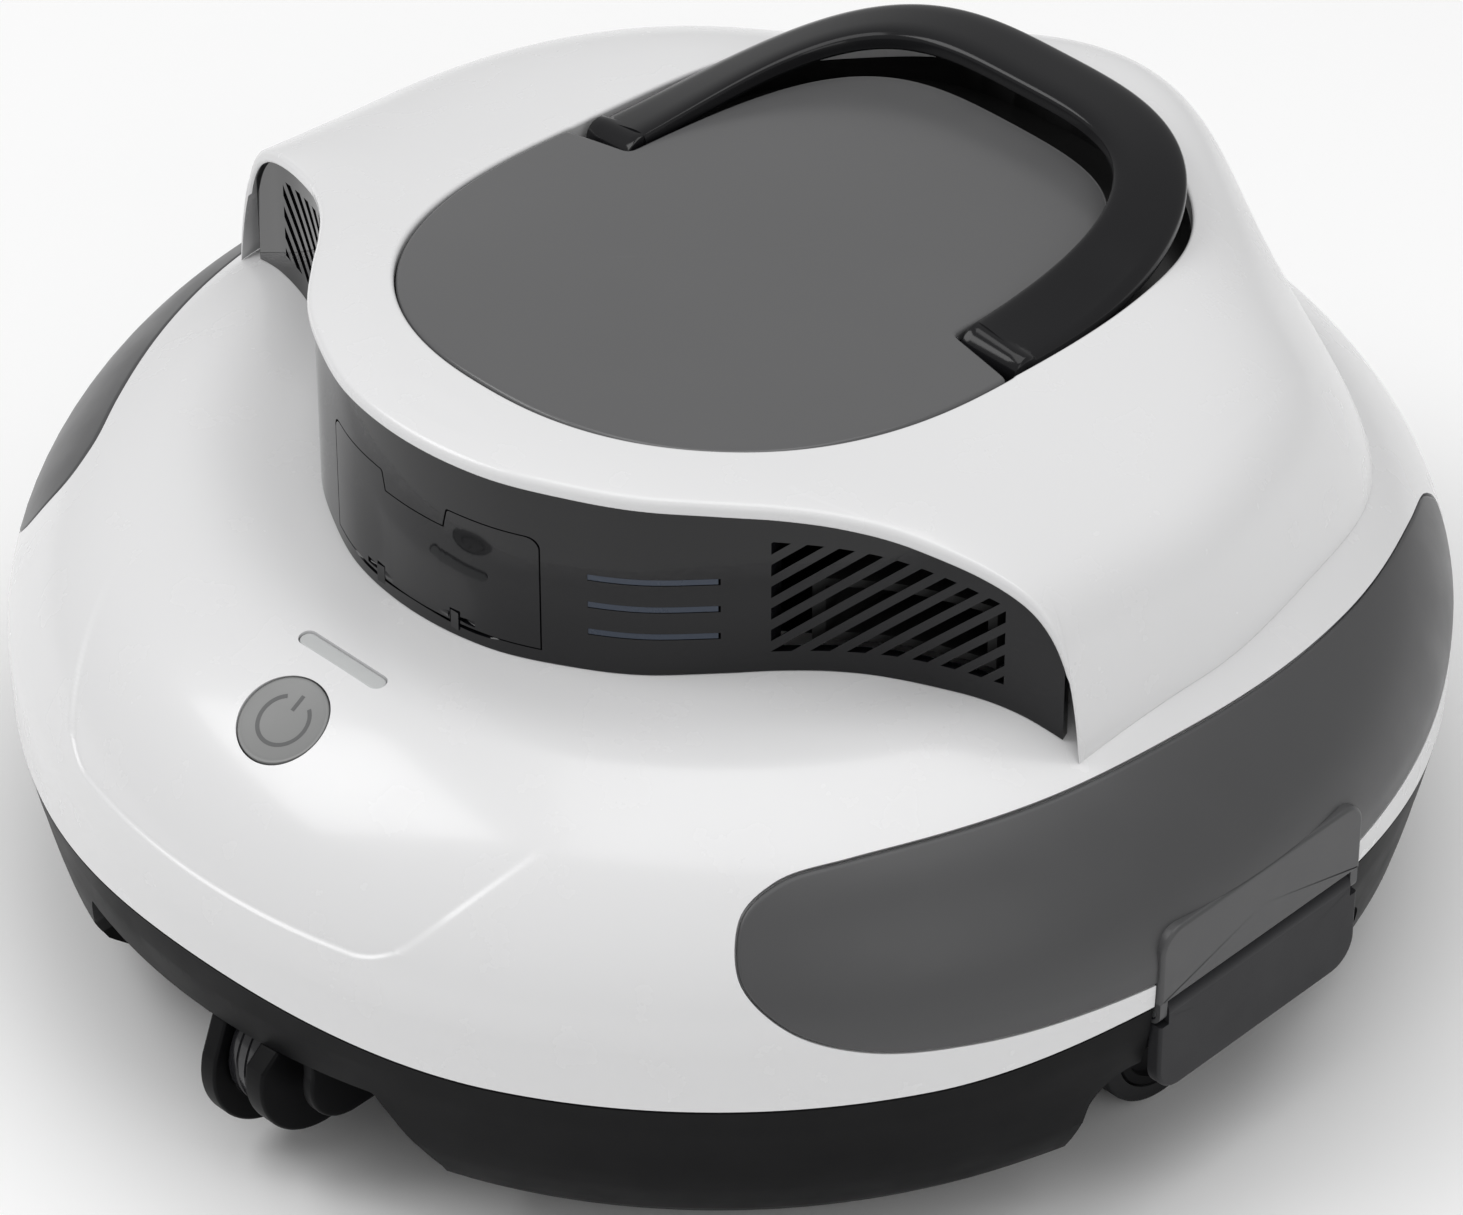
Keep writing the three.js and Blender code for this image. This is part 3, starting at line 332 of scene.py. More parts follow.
def dome_profile(inset, heights, deck):
    """(radius, height) pairs from the widest line up to the middle of the deck."""
    pairs = []
    for z in heights:
        t = math.acos(min(1.0, ((z - DOME_Z) / DOME_H) ** (DOME_Q / 2)))
        radius = (DOME_R - inset) * math.sin(t) ** (2 / DOME_P)
        pairs.append((radius, DOME_Z + (DOME_H - inset) * math.cos(t) ** (2 / DOME_Q)))
    last = pairs[-1][0]
    for radius in np.linspace(last, 4, deck)[1:]:
        rise = (1 - (radius / (DOME_R - inset)) ** DOME_P) ** (1 / DOME_Q)
        pairs.append((radius, DOME_Z + (DOME_H - inset) * rise))
    return [(radius, z - float(deck_drop(radius))) for radius, z in pairs]


FASCIA_KEYS = [
    (0, -116.6), (25, -113.2), (45, -104.2), (60, -94.3), (74.2, -79.8), (84.4, -68.2),
    (95.4, -57.5), (108, -48.4), (122.6, -41.8), (139, -36.8), (152.5, -32.9),
]
FASCIA_KEYS = [(-x, y) for x, y in FASCIA_KEYS[:0:-1]] + FASCIA_KEYS
FASCIA = even(spline(FASCIA_KEYS, False, 900), 600, closed=False)


def fascia(offset, step=1):
    """The fascia line moved back from the front by offset."""
    tangent = np.gradient(FASCIA, axis=0)
    tangent /= np.linalg.norm(tangent, axis=1)[:, None]
    return (FASCIA + offset * np.stack([-tangent[:, 1], tangent[:, 0]], -1))[::step]


LIP = fascia(-LIP_OVERHANG)
LIP_SLOPE = np.gradient(LIP[:, 1], LIP[:, 0])


def lip_turn(x, y):
    lip_y = np.interp(x, LIP[:, 0], LIP[:, 1])
    slope = np.interp(x, LIP[:, 0], LIP_SLOPE)
    behind = np.maximum(0, (y - lip_y) / np.hypot(1, slope))
    return 2.3 * (1 - smoothstep(np.abs(x), 112, 145)) * np.exp(-behind / 7)


def crown_z(x, y):
    u, v = np.asarray(x, float) / 60, (np.asarray(y, float) - HOOD_Y) / 60
    nose = np.maximum(0, -v - 1.2)
    crown = HOOD_TOP - 4.61 * v + 1.45 * v * v - 0.29 * u * u - 0.4 * u ** 4 - 4.04 * nose * nose
    return crown - lip_turn(x, y)


def hood_radius(phi):
    c, s = np.abs(np.cos(phi)), np.sin(phi)
    front = ((c / HOOD_A) ** 6 + (np.abs(s) / 300) ** 6) ** (-1 / 6)

    def wave(t):
        return (120.19 - 0.05 * np.cos(2 * t) - 0.82 * np.cos(4 * t)
                - 2.61 * np.cos(6 * t) + 2.23 * np.cos(8 * t))

    return np.where(s < 0, front, HOOD_A * wave(phi) / wave(0.0))


def hood_z(x, y, inset=0.0):
    x, y = np.asarray(x, float), np.asarray(y, float)
    phi = np.arctan2(y - HOOD_Y, x)
    radius = hood_radius(phi) - inset
    rho = np.minimum(1, np.hypot(x, y - HOOD_Y) / radius)
    back = np.sin(phi) >= 0
    foot_x, foot_y = radius * np.cos(phi), HOOD_Y + radius * np.sin(phi)
    w = np.where(back, np.sin(phi) ** 2, 0)
    w2 = np.where(back, np.sin(2 * phi) ** 2, 0)
    sharp = 30 * (1 - w) + 18.9 * w - 14.6 * w2
    drop = np.where(back, crown_z(foot_x, foot_y) - dome_z(foot_x, foot_y), crown_z(foot_x, y) - 131)
    roll = 1 - np.maximum(0, 1 - rho ** sharp) ** (1 / 1.2)
    saddle = 6.8 * w2 * w2 * rho ** 8 * (1 - rho ** 8) * 4
    return crown_z(x, y) - drop * roll - saddle - inset


def super_oval(a, b, n, count, grow=0.0, centre_y=HOOD_Y):
    t = np.linspace(0, 2 * np.pi, count, endpoint=False)
    c, s = np.cos(t), np.sin(t)
    return np.stack([(a + grow) * np.sign(c) * np.abs(c) ** (2 / n),
                     centre_y + (b + grow) * np.sign(s) * np.abs(s) ** (2 / n)], -1)


OVAL = (81.7, 102.5, 2.3)
GRIP_IN = (60.8, 97.6, 3.65)
GRIP_OUT = (80.1, 118.5, 3.17)
HINGE_Y, HINGE_Z = 28.5, 179.8


def panel_z(x, y):
    return 189.4 - 2.78 * (np.asarray(x) / 60) ** 2 - 4.83 * (np.asarray(y) - HOOD_Y) / 60


# ---- materials --------------------------------------------------------------
def plastic(name, colour, roughness, grain=0.02, grain_scale=900.0, specular=0.5, coat=0.0,
            coat_roughness=0.05, variation=0.04, metallic=0.0, wear=0.04, streaks=0.0, alpha_glow=None):
    """Moulded or painted surface: colour drift, fine grain, handling marks and lighter worn edges."""
    material = bpy.data.materials.new(name)
    material.use_nodes = True
    tree = material.node_tree
    tree.nodes.clear()
    node = tree.nodes.new
    link = tree.links.new
    out = node("ShaderNodeOutputMaterial")
    shader = node("ShaderNodeBsdfPrincipled")
    link(shader.outputs["BSDF"], out.inputs["Surface"])
    shader.inputs["Metallic"].default_value = metallic
    shader.inputs["Specular IOR Level"].default_value = specular
    shader.inputs["Coat Weight"].default_value = coat
    shader.inputs["Coat Roughness"].default_value = coat_roughness
    place = node("ShaderNodeTexCoord")

    cloud = node("ShaderNodeTexNoise")
    cloud.inputs["Scale"].default_value = 14
    cloud.inputs["Detail"].default_value = 3
    link(place.outputs["Object"], cloud.inputs["Vector"])
    drift = node("ShaderNodeMapRange")
    drift.inputs["From Min"].default_value = 0.3
    drift.inputs["From Max"].default_value = 0.7
    drift.inputs["To Min"].default_value = 1 - variation
    drift.inputs["To Max"].default_value = 1 + variation
    link(cloud.outputs["Fac"], drift.inputs["Value"])

    edge = node("ShaderNodeNewGeometry")
    worn = node("ShaderNodeMapRange")
    worn.inputs["From Min"].default_value = 0.52
    worn.inputs["From Max"].default_value = 0.62
    worn.inputs["To Min"].default_value = 0
    worn.inputs["To Max"].default_value = wear
    link(edge.outputs["Pointiness"], worn.inputs["Value"])
    shade = node("ShaderNodeMath")
    shade.operation = "ADD"
    link(drift.outputs["Result"], shade.inputs[0])
    link(worn.outputs["Result"], shade.inputs[1])

    tint = node("ShaderNodeVectorMath")
    tint.operation = "SCALE"
    tint.inputs[0].default_value = colour
    link(shade.outputs["Value"], tint.inputs["Scale"])
    link(tint.outputs["Vector"], shader.inputs["Base Color"])

    rub = node("ShaderNodeTexNoise")
    rub.inputs["Scale"].default_value = 55
    rub.inputs["Detail"].default_value = 5
    link(place.outputs["Object"], rub.inputs["Vector"])
    gloss = node("ShaderNodeMapRange")
    gloss.inputs["From Min"].default_value = 0.3
    gloss.inputs["From Max"].default_value = 0.7
    gloss.inputs["To Min"].default_value = max(0.02, roughness * 0.88)
    gloss.inputs["To Max"].default_value = roughness * 1.12
    link(rub.outputs["Fac"], gloss.inputs["Value"])
    link(gloss.outputs["Result"], shader.inputs["Roughness"])

    speck = node("ShaderNodeTexNoise")
    speck.inputs["Scale"].default_value = grain_scale
    speck.inputs["Detail"].default_value = 2
    link(place.outputs["Object"], speck.inputs["Vector"])
    bump = node("ShaderNodeBump")
    bump.inputs["Strength"].default_value = grain
    bump.inputs["Distance"].default_value = 0.0002
    link(speck.outputs["Fac"], bump.inputs["Height"])
    if streaks:
        line = node("ShaderNodeTexWave")
        line.inputs["Scale"].default_value = streaks
        line.inputs["Distortion"].default_value = 2
        link(place.outputs["Object"], line.inputs["Vector"])
        ridge = node("ShaderNodeBump")
        ridge.inputs["Strength"].default_value = 0.2
        ridge.inputs["Distance"].default_value = 0.0002
        link(line.outputs["Fac"], ridge.inputs["Height"])
        link(bump.outputs["Normal"], ridge.inputs["Normal"])
        link(ridge.outputs["Normal"], shader.inputs["Normal"])
    else:
        link(bump.outputs["Normal"], shader.inputs["Normal"])
    if alpha_glow:
        shader.inputs["Subsurface Weight"].default_value = alpha_glow
        shader.inputs["Subsurface Radius"].default_value = (0.002, 0.002, 0.002)
    return material


LOOK = {
    "white_shell": plastic("white_shell", (0.745, 0.745, 0.75), 0.26, 0.006, 1400, coat=0.35,
                           coat_roughness=0.12, variation=0.003, wear=0.02),
    "top_grey": plastic("top_grey", (0.105, 0.105, 0.107), 0.24, 0.03, 1500, 0.5, variation=0.02, wear=0.03),
    "side_grey": plastic("side_grey", (0.068, 0.068, 0.070), 0.36, 0.05, 1500, 0.4, variation=0.02, wear=0.03),
    "base_black": plastic("base_black", (0.004, 0.004, 0.0045), 0.42, 0.05, 1300, 0.08, variation=0.08, wear=0.2),
    "latch_black": plastic("latch_black", (0.020, 0.020, 0.022), 0.42, 0.07, 1300, 0.2, variation=0.05, wear=0.2),
    "gloss_black": plastic("gloss_black", (0.005, 0.005, 0.006), 0.05, 0.0, 900, 0.42, variation=0.03, wear=0.05),
    "handle_black": plastic("handle_black", (0.008, 0.008, 0.009), 0.13, 0.01, 1200, 0.32, variation=0.04,
                            wear=0.1),
    "inner_black": plastic("inner_black", (0.012, 0.012, 0.013), 0.5, 0.1, 1200, 0.3, variation=0.08, wear=0.1),
    "roller_black": plastic("roller_black", (0.016, 0.016, 0.018), 0.16, 0.02, 1200, 0.5, variation=0.04,
                            wear=0.1),
    "tyre_rubber": plastic("tyre_rubber", (0.016, 0.016, 0.017), 0.75, 0.3, 1000, 0.3, variation=0.12, wear=0.2),
    "seal_rubber": plastic("seal_rubber", (0.014, 0.014, 0.014), 0.7, 0.2, 1000, 0.3, variation=0.1, wear=0.1),
    "steel": plastic("steel", (0.55, 0.56, 0.58), 0.3, 0.02, 1500, 0.5, variation=0.05, metallic=1.0,
                     streaks=260),
    "brass": plastic("brass", (0.62, 0.46, 0.20), 0.32, 0.02, 1500, 0.5, variation=0.08, metallic=1.0),
    "led_lens": plastic("led_lens", (0.030, 0.042, 0.066), 0.28, 0.04, 1500, 0.5, variation=0.06, wear=0.05),
    "window_lens": plastic("window_lens", (0.52, 0.53, 0.53), 0.3, 0.03, 1500, 0.5, variation=0.03,
                           alpha_glow=0.4),
    "button_grey": plastic("button_grey", (0.205, 0.207, 0.205), 0.34, 0.05, 1500, 0.45, variation=0.02,
                           wear=0.03),
    "button_mark": plastic("button_mark", (0.095, 0.096, 0.097), 0.45, 0.05, 1500, 0.4, variation=0.05),
    "circuit_board": plastic("circuit_board", (0.02, 0.10, 0.045), 0.5, 0.1, 700, 0.4, variation=0.15,
                             streaks=500),
    "battery_wrap": plastic("battery_wrap", (0.03, 0.08, 0.24), 0.35, 0.06, 500, 0.5, variation=0.08),
    "basket_grey": plastic("basket_grey", (0.10, 0.10, 0.105), 0.45, 0.08, 1200, 0.4, variation=0.06, wear=0.1),
    "filter_cloth": plastic("filter_cloth", (0.33, 0.36, 0.37), 0.85, 0.6, 700, 0.2, variation=0.12,
                            streaks=900),
}
LOOK["base_black"].name = "base_black_plastic"


def finish_piece(obj, look, body, slot, *nodes, angle=32.0):
    """Shading, material and place of one piece, kept below the frame's highest point."""
    raw = obj.data
    raw.set_sharp_from_angle(angle=math.radians(angle))
    raw.polygons.foreach_set("use_smooth", np.ones(len(raw.polygons), bool))
    even_shading = obj.modifiers.new("even_shading", "WEIGHTED_NORMAL")
    even_shading.keep_sharp = True
    bpy.context.view_layer.update()
    mesh = bpy.data.meshes.new_from_object(obj.evaluated_get(bpy.context.evaluated_depsgraph_get()))
    obj.modifiers.clear()
    name = raw.name
    obj.data = mesh
    bpy.data.meshes.remove(raw)
    mesh.name = name
    co = np.zeros(len(mesh.vertices) * 3, np.float32)
    mesh.vertices.foreach_get("co", co)
    if co[2::3].max() > TOP_LIMIT * MM:
        co[2::3] = np.minimum(co[2::3], TOP_LIMIT * MM)
        mesh.vertices.foreach_set("co", co)
    mesh.materials.clear()
    mesh.materials.append(LOOK[look])
    mesh.polygons.foreach_set("material_index", np.zeros(len(mesh.polygons), np.int32))
    mesh.update()
    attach(obj, body)
    if nodes:
        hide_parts(*nodes)
    return obj


# ---- upper shell ------------------------------------------------------------
LEDGE_Z, LEDGE_W, EMBOSS = 95.3, 1.6, 0.85


def front_panel_depth(x, y, z):
    """Depth of the shallow panel pressed into the front: a ledge below, faint lines at the sides."""
    half = 60 + (z - LEDGE_Z) * (82 - 60) / (125 - LEDGE_Z)
    up = z - LEDGE_Z
    inside = (half - np.abs(x)) * 0.8
    corner = 8.0
    near = (up < corner) & (inside < corner)
    distance = np.where(near, corner - np.hypot(corner - np.minimum(up, corner), corner - np.minimum(inside, corner)),
                        np.minimum(up, inside))
    step = smoothstep(distance, 0, LEDGE_W)
    fade = 1 - smoothstep(z, 104, 131)
    return EMBOSS * step * fade * (y < -60)


def shell_columns():
    front = np.radians(np.arange(-90 - 33, -90 + 33, 0.16))
    rest = np.radians(np.arange(-90 + 33, 270 - 33, 1.0))
    return np.concatenate([front, rest])


def dome_solid(inset, theta, heights, deck, floor, emboss=False):
    rings = [body_ring(theta, DOME_R - inset - 0.3, floor(theta) if callable(floor) else floor)]
    base = rings[0][:, Z].mean()
    for share in (0.35, 0.7, 1.0):
        z = rings[0][:, Z] + share * (DOME_Z - rings[0][:, Z])
        rings.append(body_ring(theta, DOME_R - inset - 0.3 * (1 - share) ** 2, z))
    for radius, z in dome_profile(inset, heights, deck):
        rings.append(body_ring(theta, radius, z))
    rings = np.array(rings)
    if emboss:
        x, y, z = rings[..., X], rings[..., Y], rings[..., Z]
        depth = front_panel_depth(x, y, z)
        r = np.hypot(x / SQUASH, y)
        lift = np.gradient(rings[:, 0, Z], axis=0)
        across = np.gradient(r[:, 0], axis=0)
        length = np.hypot(lift, across) + 1e-9
        out_r, out_z = (lift / length)[:, None], (-across / length)[:, None]
        rings[..., X] -= depth * out_r * x / r
        rings[..., Y] -= depth * out_r * y / r
        rings[..., Z] -= depth * out_z
    return loft("solid", rings)


COARSE = np.radians(np.arange(0, 360, 2.0))
BUTTON_Y = -164.0
tilt = math.atan((float(dome_z(0, BUTTON_Y - 1)) - float(dome_z(0, BUTTON_Y + 1))) / -2)
BUTTON_AT = (0.0, BUTTON_Y, float(dome_z(0, BUTTON_Y)))


def at_button(obj):
    """Moves a solid drawn upright at the origin to its place square to the shell."""
    co = np.zeros(len(obj.data.vertices) * 3, np.float32)
    obj.data.vertices.foreach_get("co", co)
    co = co.reshape(-1, 3) / MM
    c, s = math.cos(tilt), math.sin(tilt)
    y, z = co[:, Y] * c - co[:, Z] * s, co[:, Y] * s + co[:, Z] * c
    placed = np.stack([co[:, X] + BUTTON_AT[X], y + BUTTON_AT[Y], z + BUTTON_AT[Z]], -1) * MM
    obj.data.vertices.foreach_set("co", placed.astype(np.float32).ravel())
    obj.data.update()
    return obj


PANEL_KEYS = [
    (-134, 103), (-128.5, 91.5), (-113, 83), (-88, 79.4), (-50, 78.6), (50, 78.6), (105, 79.6), (134, 85.5),
    (147, 96), (139, 106), (118, 113.8), (70, 121.5), (2, 126.6), (-47, 126.7), (-98, 124.9), (-116, 122.2),
    (-128, 115.5),
]
PANEL_OUTLINE = even(spline(PANEL_KEYS, True, 700), 360)
PANEL_CENTRE = (4.0, 102.0)


def on_side(inset_of):
    """Maps (y, z, height) to the right flank of the dome; height is measured outward from the surface."""
    def place(u, v, height):
        y, z = np.asarray(u, float), np.asarray(v, float)
        rise = np.clip((z - DOME_Z) / DOME_H, 0, 1)
        r = DOME_R * (1 - rise ** DOME_Q) ** (1 / DOME_P)
        x = SQUASH * np.sqrt(np.maximum(r * r - y * y, 0))
        step = 0.5
        r_up = DOME_R * (1 - np.clip((z + step - DOME_Z) / DOME_H, 0, 1) ** DOME_Q) ** (1 / DOME_P)
        slope = (r_up - r) / step
        n = np.stack([x / SQUASH / r, y / r, -slope], -1)
        n /= np.linalg.norm(n, axis=-1)[..., None]
        h = height if np.isscalar(height) else np.asarray(height)
        return np.stack([x, y, z], -1) + n * (h + inset_of)
    return place


def side_recess():
    return slab("cutter", PANEL_OUTLINE, [(0.3, -2.5), (0.3, 1.6)], on_side(0.0), PANEL_CENTRE, 14)


heights = np.concatenate([np.arange(85.2, 93, 1.3), np.arange(93, 100, 0.4), np.arange(100, 138, 0.9)])
shell = dome_solid(0, shell_columns(), heights, 46, part_z, emboss=True)
shell.name = shell.data.name = "shell_moulding"
cut(shell, dome_solid(3.0, COARSE, np.arange(86, 136, 4.0), 18, 20.0))
for side in (1, -1):
    recess = side_recess()
    if side < 0:
        flipped = mirrored(recess, "cutter_left")
        bpy.data.objects.remove(recess)
        recess = flipped
    cut(shell, recess)
    cut(shell, box_piece(sorted((side * 183, side * 210)), (-39.3, 39.3), (60, 95.3)))
    cut(shell, rod("z", 25, (120, 160), (side * 108, 20), 96))
hole = super_oval(115, 100, 2, 200, centre_y=20)
cut(shell, prism("z", hole, (120, 160)))


def stadium(half_length, half_width, centre, count=16):
    t = np.linspace(-math.pi / 2, math.pi / 2, count)
    right = np.stack([half_length - half_width + half_width * np.cos(t), half_width * np.sin(t)], -1)
    return np.vstack([right, -right]) + np.asarray(centre)


cut(shell, prism("z", stadium(15.6, 2.7, (0, -142.5)), (125, 150)))
cut(shell, at_button(rod("z", 13.1, (-10, 10), count=128)))
finish_piece(shell, "white_shell", "upper", "white_shell", "upper_shell")

# Status window and the power button.
window = slab("status_lens", stadium(15.3, 2.4, (0, -142.5), 24), rounded_edge(-3.4, -0.5, 0.5),
              lambda u, v, h: np.stack([u + 0 * v, v + 0 * u, dome_z(u, v) + h], -1), fill=5)
finish_piece(window, "window_lens", "upper", "window_lens", "status_window")

face = [(14.4, -8.0), (14.4, -6.5), (12.7, -6.5), (12.7, -1.0), (12.5, -0.62), (12.1, -0.5), (11.6, -0.62)]
face += [(r, -0.62 - 0.5 * (1 - (r / 11.6) ** 2)) for r in np.linspace(11.2, 0.3, 16)]
button = at_button(lathe("power_key", "z", [(0.3, -8.0)] + face, (0, 0), 160))
finish_piece(button, "button_grey", "button", "button_grey", "power_button")


def dish(r):
    return -0.62 - 0.5 * (1 - (np.minimum(r, 11.6) / 11.6) ** 2)


def mark_strip(points, width):
    """A thin raised strip on the button along a plan line."""
    points = np.asarray(points, float)
    tangent = np.gradient(points, axis=0)
    tangent /= np.linalg.norm(tangent, axis=1)[:, None]
    side = np.stack([-tangent[:, 1], tangent[:, 0]], -1)
    rings = []
    for p, s in zip(points, side):
        a, b = p - s * width / 2, p + s * width / 2
        za, zb = (float(dish(np.hypot(*q))) for q in (a, b))
        rings.append([(*a, za - 0.25), (*b, zb - 0.25), (*b, zb + 0.05), (*a, za + 0.05)])
    return loft("strip", rings)


gap = math.radians(34)
ring_line = [(7.2 * math.cos(t), 7.2 * math.sin(t)) for t in np.linspace(math.pi / 2 + gap, math.pi * 2.5 - gap, 80)]
mark = mark_strip(ring_line, 1.15)
mark.name = mark.data.name = "power_mark"
fuse(mark, mark_strip([(0, y) for y in np.linspace(3.4, 8.2, 8)], 1.15))
at_button(mark)
finish_piece(mark, "button_mark", "button", "button_grey")

# ---- side panels and latches --------------------------------------------------
PAD_X, PAD_HALF, PAD_TOP, PAD_LOW = 192.4, 39.0, 95.0, 71.6
LATCH_HALF, LATCH_LOW = 38.6, 40.3
PIN_X, PIN_Z = 188.8, 67.5
LUG = (35.9, 38.7)


def round_corner(centre, radius, start, end, count=12):
    t = np.radians(np.linspace(start, end, count))
    return [(centre[0] + radius * math.cos(a), centre[1] + radius * math.sin(a)) for a in t]


def pad_outline(half, low, high, top_r, low_r):
    points = round_corner((half - top_r, high - top_r), top_r, 0, 90)
    points += round_corner((-half + top_r, high - top_r), top_r, 90, 180)
    if low_r:
        points += round_corner((-half + low_r, low + low_r), low_r, 180, 270)
        points += round_corner((half - low_r, low + low_r), low_r, 270, 360)
    else:
        points += [(-half, low), (half, low)]
    return np.array(points)


def along_x(u, v, h):
    u, v, h = np.broadcast_arrays(np.asarray(u, float), np.asarray(v, float), np.asarray(h, float))
    return np.stack([h, u, v], -1)


profile = [(0, -2.1)] + rounded_edge(-2.0, 0, 0.8, 6)
panel = slab("side_cover_right", PANEL_OUTLINE, profile, on_side(0.0), PANEL_CENTRE, 16)
pad_edge = pad_outline(PAD_HALF, PAD_LOW, PAD_TOP, 7.0, 0)
cut(panel, prism("x", pad_edge, (189.9, 215)))
cut(panel, box_piece((150, 215), (-39.2, 39.2), (60, 78.0)))
dense = even(pad_edge, 260)
pad = slab("pad", dense, rounded_edge(184, PAD_X, 1.1, 6), along_x, (0, 83))
fuse(panel, pad)
for ys in (LUG, (-LUG[1], -LUG[0])):
    fuse(panel, box_piece((PIN_X - 3.1, PIN_X + 3.1), ys, (PIN_Z, 72)))
    fuse(panel, rod("y", 3.1, ys, (PIN_Z, PIN_X), 32))
cut(panel, rod("y", 1.8, (-50, 50), (PIN_Z, PIN_X), 32))
panel.name = panel.data.name = "side_cover_right"
left = mirrored(panel, "side_cover_left")
finish_piece(panel, "side_grey", "upper", "side_grey", "side_panel_right")
finish_piece(left, "side_grey", "upper", "side_grey", "side_panel_left")

paddle_edge = even(pad_outline(LATCH_HALF, LATCH_LOW, PIN_Z + 0.5, 0.6, 8.5), 300)
paddle = slab("latch_paddle_right", paddle_edge, rounded_edge(PAD_X - 4, PAD_X, 1.0, 6), along_x, (0, 56))
cut(paddle, box_piece((PAD_X - 5, PAD_X - 2.2), (-LATCH_HALF + 4, LATCH_HALF - 4), (46, 60)))
inner = LUG[0] - 0.3
for ys in ((inner, 45), (-45, -inner)):
    cut(paddle, box_piece((180, 200), ys, (PIN_Z - 3.6, 80)))
fuse(paddle, rod("y", 3.6, (-inner, inner), (PIN_Z, PIN_X), 96))
cut(paddle, rod("y", 1.8, (-50, 50), (PIN_Z, PIN_X), 32))
paddle.name = paddle.data.name = "latch_paddle_right"
other = mirrored(paddle, "latch_paddle_left")
finish_piece(paddle, "latch_black", "latch_right", "base_black", "latch_right")
finish_piece(other, "latch_black", "latch_left", "base_black", "latch_left")

# ---- hood ---------------------------------------------------------------------
def hole_outline(grow):
    front = super_oval(*OVAL, 720, 0.4 + grow)
    rear = super_oval(*GRIP_OUT, 720, 1.6 + grow)
    front = front[front[:, 1] < HOOD_Y + 8]
    rear = rear[rear[:, 1] > HOOD_Y + 8]
    return np.vstack([rear, order_by_angle(front)])


def order_by_angle(points):
    return points[np.argsort(np.mod(np.arctan2(points[:, 1] - HOOD_Y, points[:, 0]) - math.pi, 2 * math.pi))]


def ray_radius(outline, angles):
    """Distance from the hood's centre to a closed plan outline, at each angle."""
    phi = np.arctan2(outline[:, 1] - HOOD_Y, outline[:, 0])
    radius = np.hypot(outline[:, 0], outline[:, 1] - HOOD_Y)
    order = np.argsort(phi)
    return np.interp(angles, phi[order], radius[order], period=2 * math.pi)


def hood_border():
    """Outer plan outline of the hood: the lip, the ends of both wings, and the foot round the back."""
    end = LIP[-1]
    phi = math.atan2(end[1] - HOOD_Y, end[0])
    foot_x = float(hood_radius(np.array(-0.2)) * math.cos(0.2))
    wing = np.stack([np.linspace(end[0], foot_x, 14), np.full(14, end[1])], -1)[1:]
    start = math.atan2(end[1] - HOOD_Y, foot_x)
    angles = np.linspace(start, math.pi - start, 420)[1:-1]
    radius = hood_radius(angles)
    foot = np.stack([radius * np.cos(angles), HOOD_Y + radius * np.sin(angles)], -1)
    lip = even(LIP, 420, closed=False)
    return np.vstack([lip, wing, foot, wing[::-1] * (-1, 1)]), len(lip)


def hood_piece():
    border, lip_count = hood_border()
    angle = np.arctan2(border[:, 1] - HOOD_Y, border[:, 0])
    hole = ray_radius(hole_outline(0), angle)
    start = np.stack([hole * np.cos(angle), HOOD_Y + hole * np.sin(angle)], -1)
    on_lip = np.zeros(len(border), bool)
    on_lip[:lip_count] = True
    reach = np.linalg.norm(border - start, axis=1)
    toward = (border - start) / reach[:, None]

    def at(distance):
        return start + toward * distance[:, None]

    def ring(distance, height):
        p = at(distance)
        return np.stack([p[:, 0], p[:, 1], height(p[:, 0], p[:, 1])], -1)

    rim, edge = 1.3, 1.5
    rings = []
    wall_t = 3.8

    def top(x, y):
        return np.maximum(hood_z(x, y), dome_z(x, y) + 0.35)

    def bottom(x, y):
        return np.maximum(hood_z(x, y) - wall_t, dome_z(x, y) + 0.1)

    thick = np.minimum(wall_t, np.maximum(0.2, top(border[:, 0], border[:, 1]) - bottom(border[:, 0], border[:, 1])))
    full = np.full(len(border), 1.0)
    # inner edge, rounded on top
    rings.append(ring(full * 0, lambda x, y: hood_z(x, y) - 6.0))
    for t in np.linspace(0, math.pi / 2, 6):
        rings.append(ring(full * rim * (1 - math.cos(t)), lambda x, y, t=t: top(x, y) - rim * (1 - math.sin(t))))
    shares = np.concatenate([np.linspace(0, 0.7, 16)[1:], 0.7 + 0.3 * np.linspace(0, 1, 44)[1:] ** 0.8])
    shares = shares[shares < 0.9999]
    last = reach - edge * np.where(on_lip, 1, 0.02)
    for share in shares:
        rings.append(ring(rim + (last - rim) * share, top))
    rings.append(ring(last, top))
    # outer edge: the lip's upper and lower corners are rounded
    end_top = top(border[:, 0], border[:, 1])
    end_low = end_top - thick
    lift = np.where(on_lip, np.minimum(edge, thick * 0.45), 0.02)
    lower = np.where(on_lip, np.minimum(0.9, thick * 0.4), 0.01)
    for t in np.linspace(0, math.pi / 2, 7)[1:]:
        out = reach - edge * np.where(on_lip, 1, 0.02) * (1 - math.sin(t))
        p = at(out)
        surface = top(p[:, 0], p[:, 1])
        z = np.where(on_lip, surface - lift * (1 - math.cos(t)), surface)
        rings.append(np.stack([p[:, 0], p[:, 1], z], -1))
    for t in np.linspace(0, math.pi / 2, 5):
        out = reach - lower * (1 - math.cos(t))
        p = at(out)
        z = end_low + lower * (1 - math.sin(t))
        rings.append(np.stack([p[:, 0], p[:, 1], z], -1))
    for share in (0.97, 0.93, 0.88, 0.8, 0.65, 0.45, 0.2):
        rings.append(ring(reach * share, bottom))
    rings.append(ring(full * 0, lambda x, y: hood_z(x, y) - 6.2))
    return loft("hood_cover", np.array(rings), closed=True)


hood = hood_piece()
finish_piece(hood, "white_shell", "upper", "white_shell", "top_cover", angle=40)


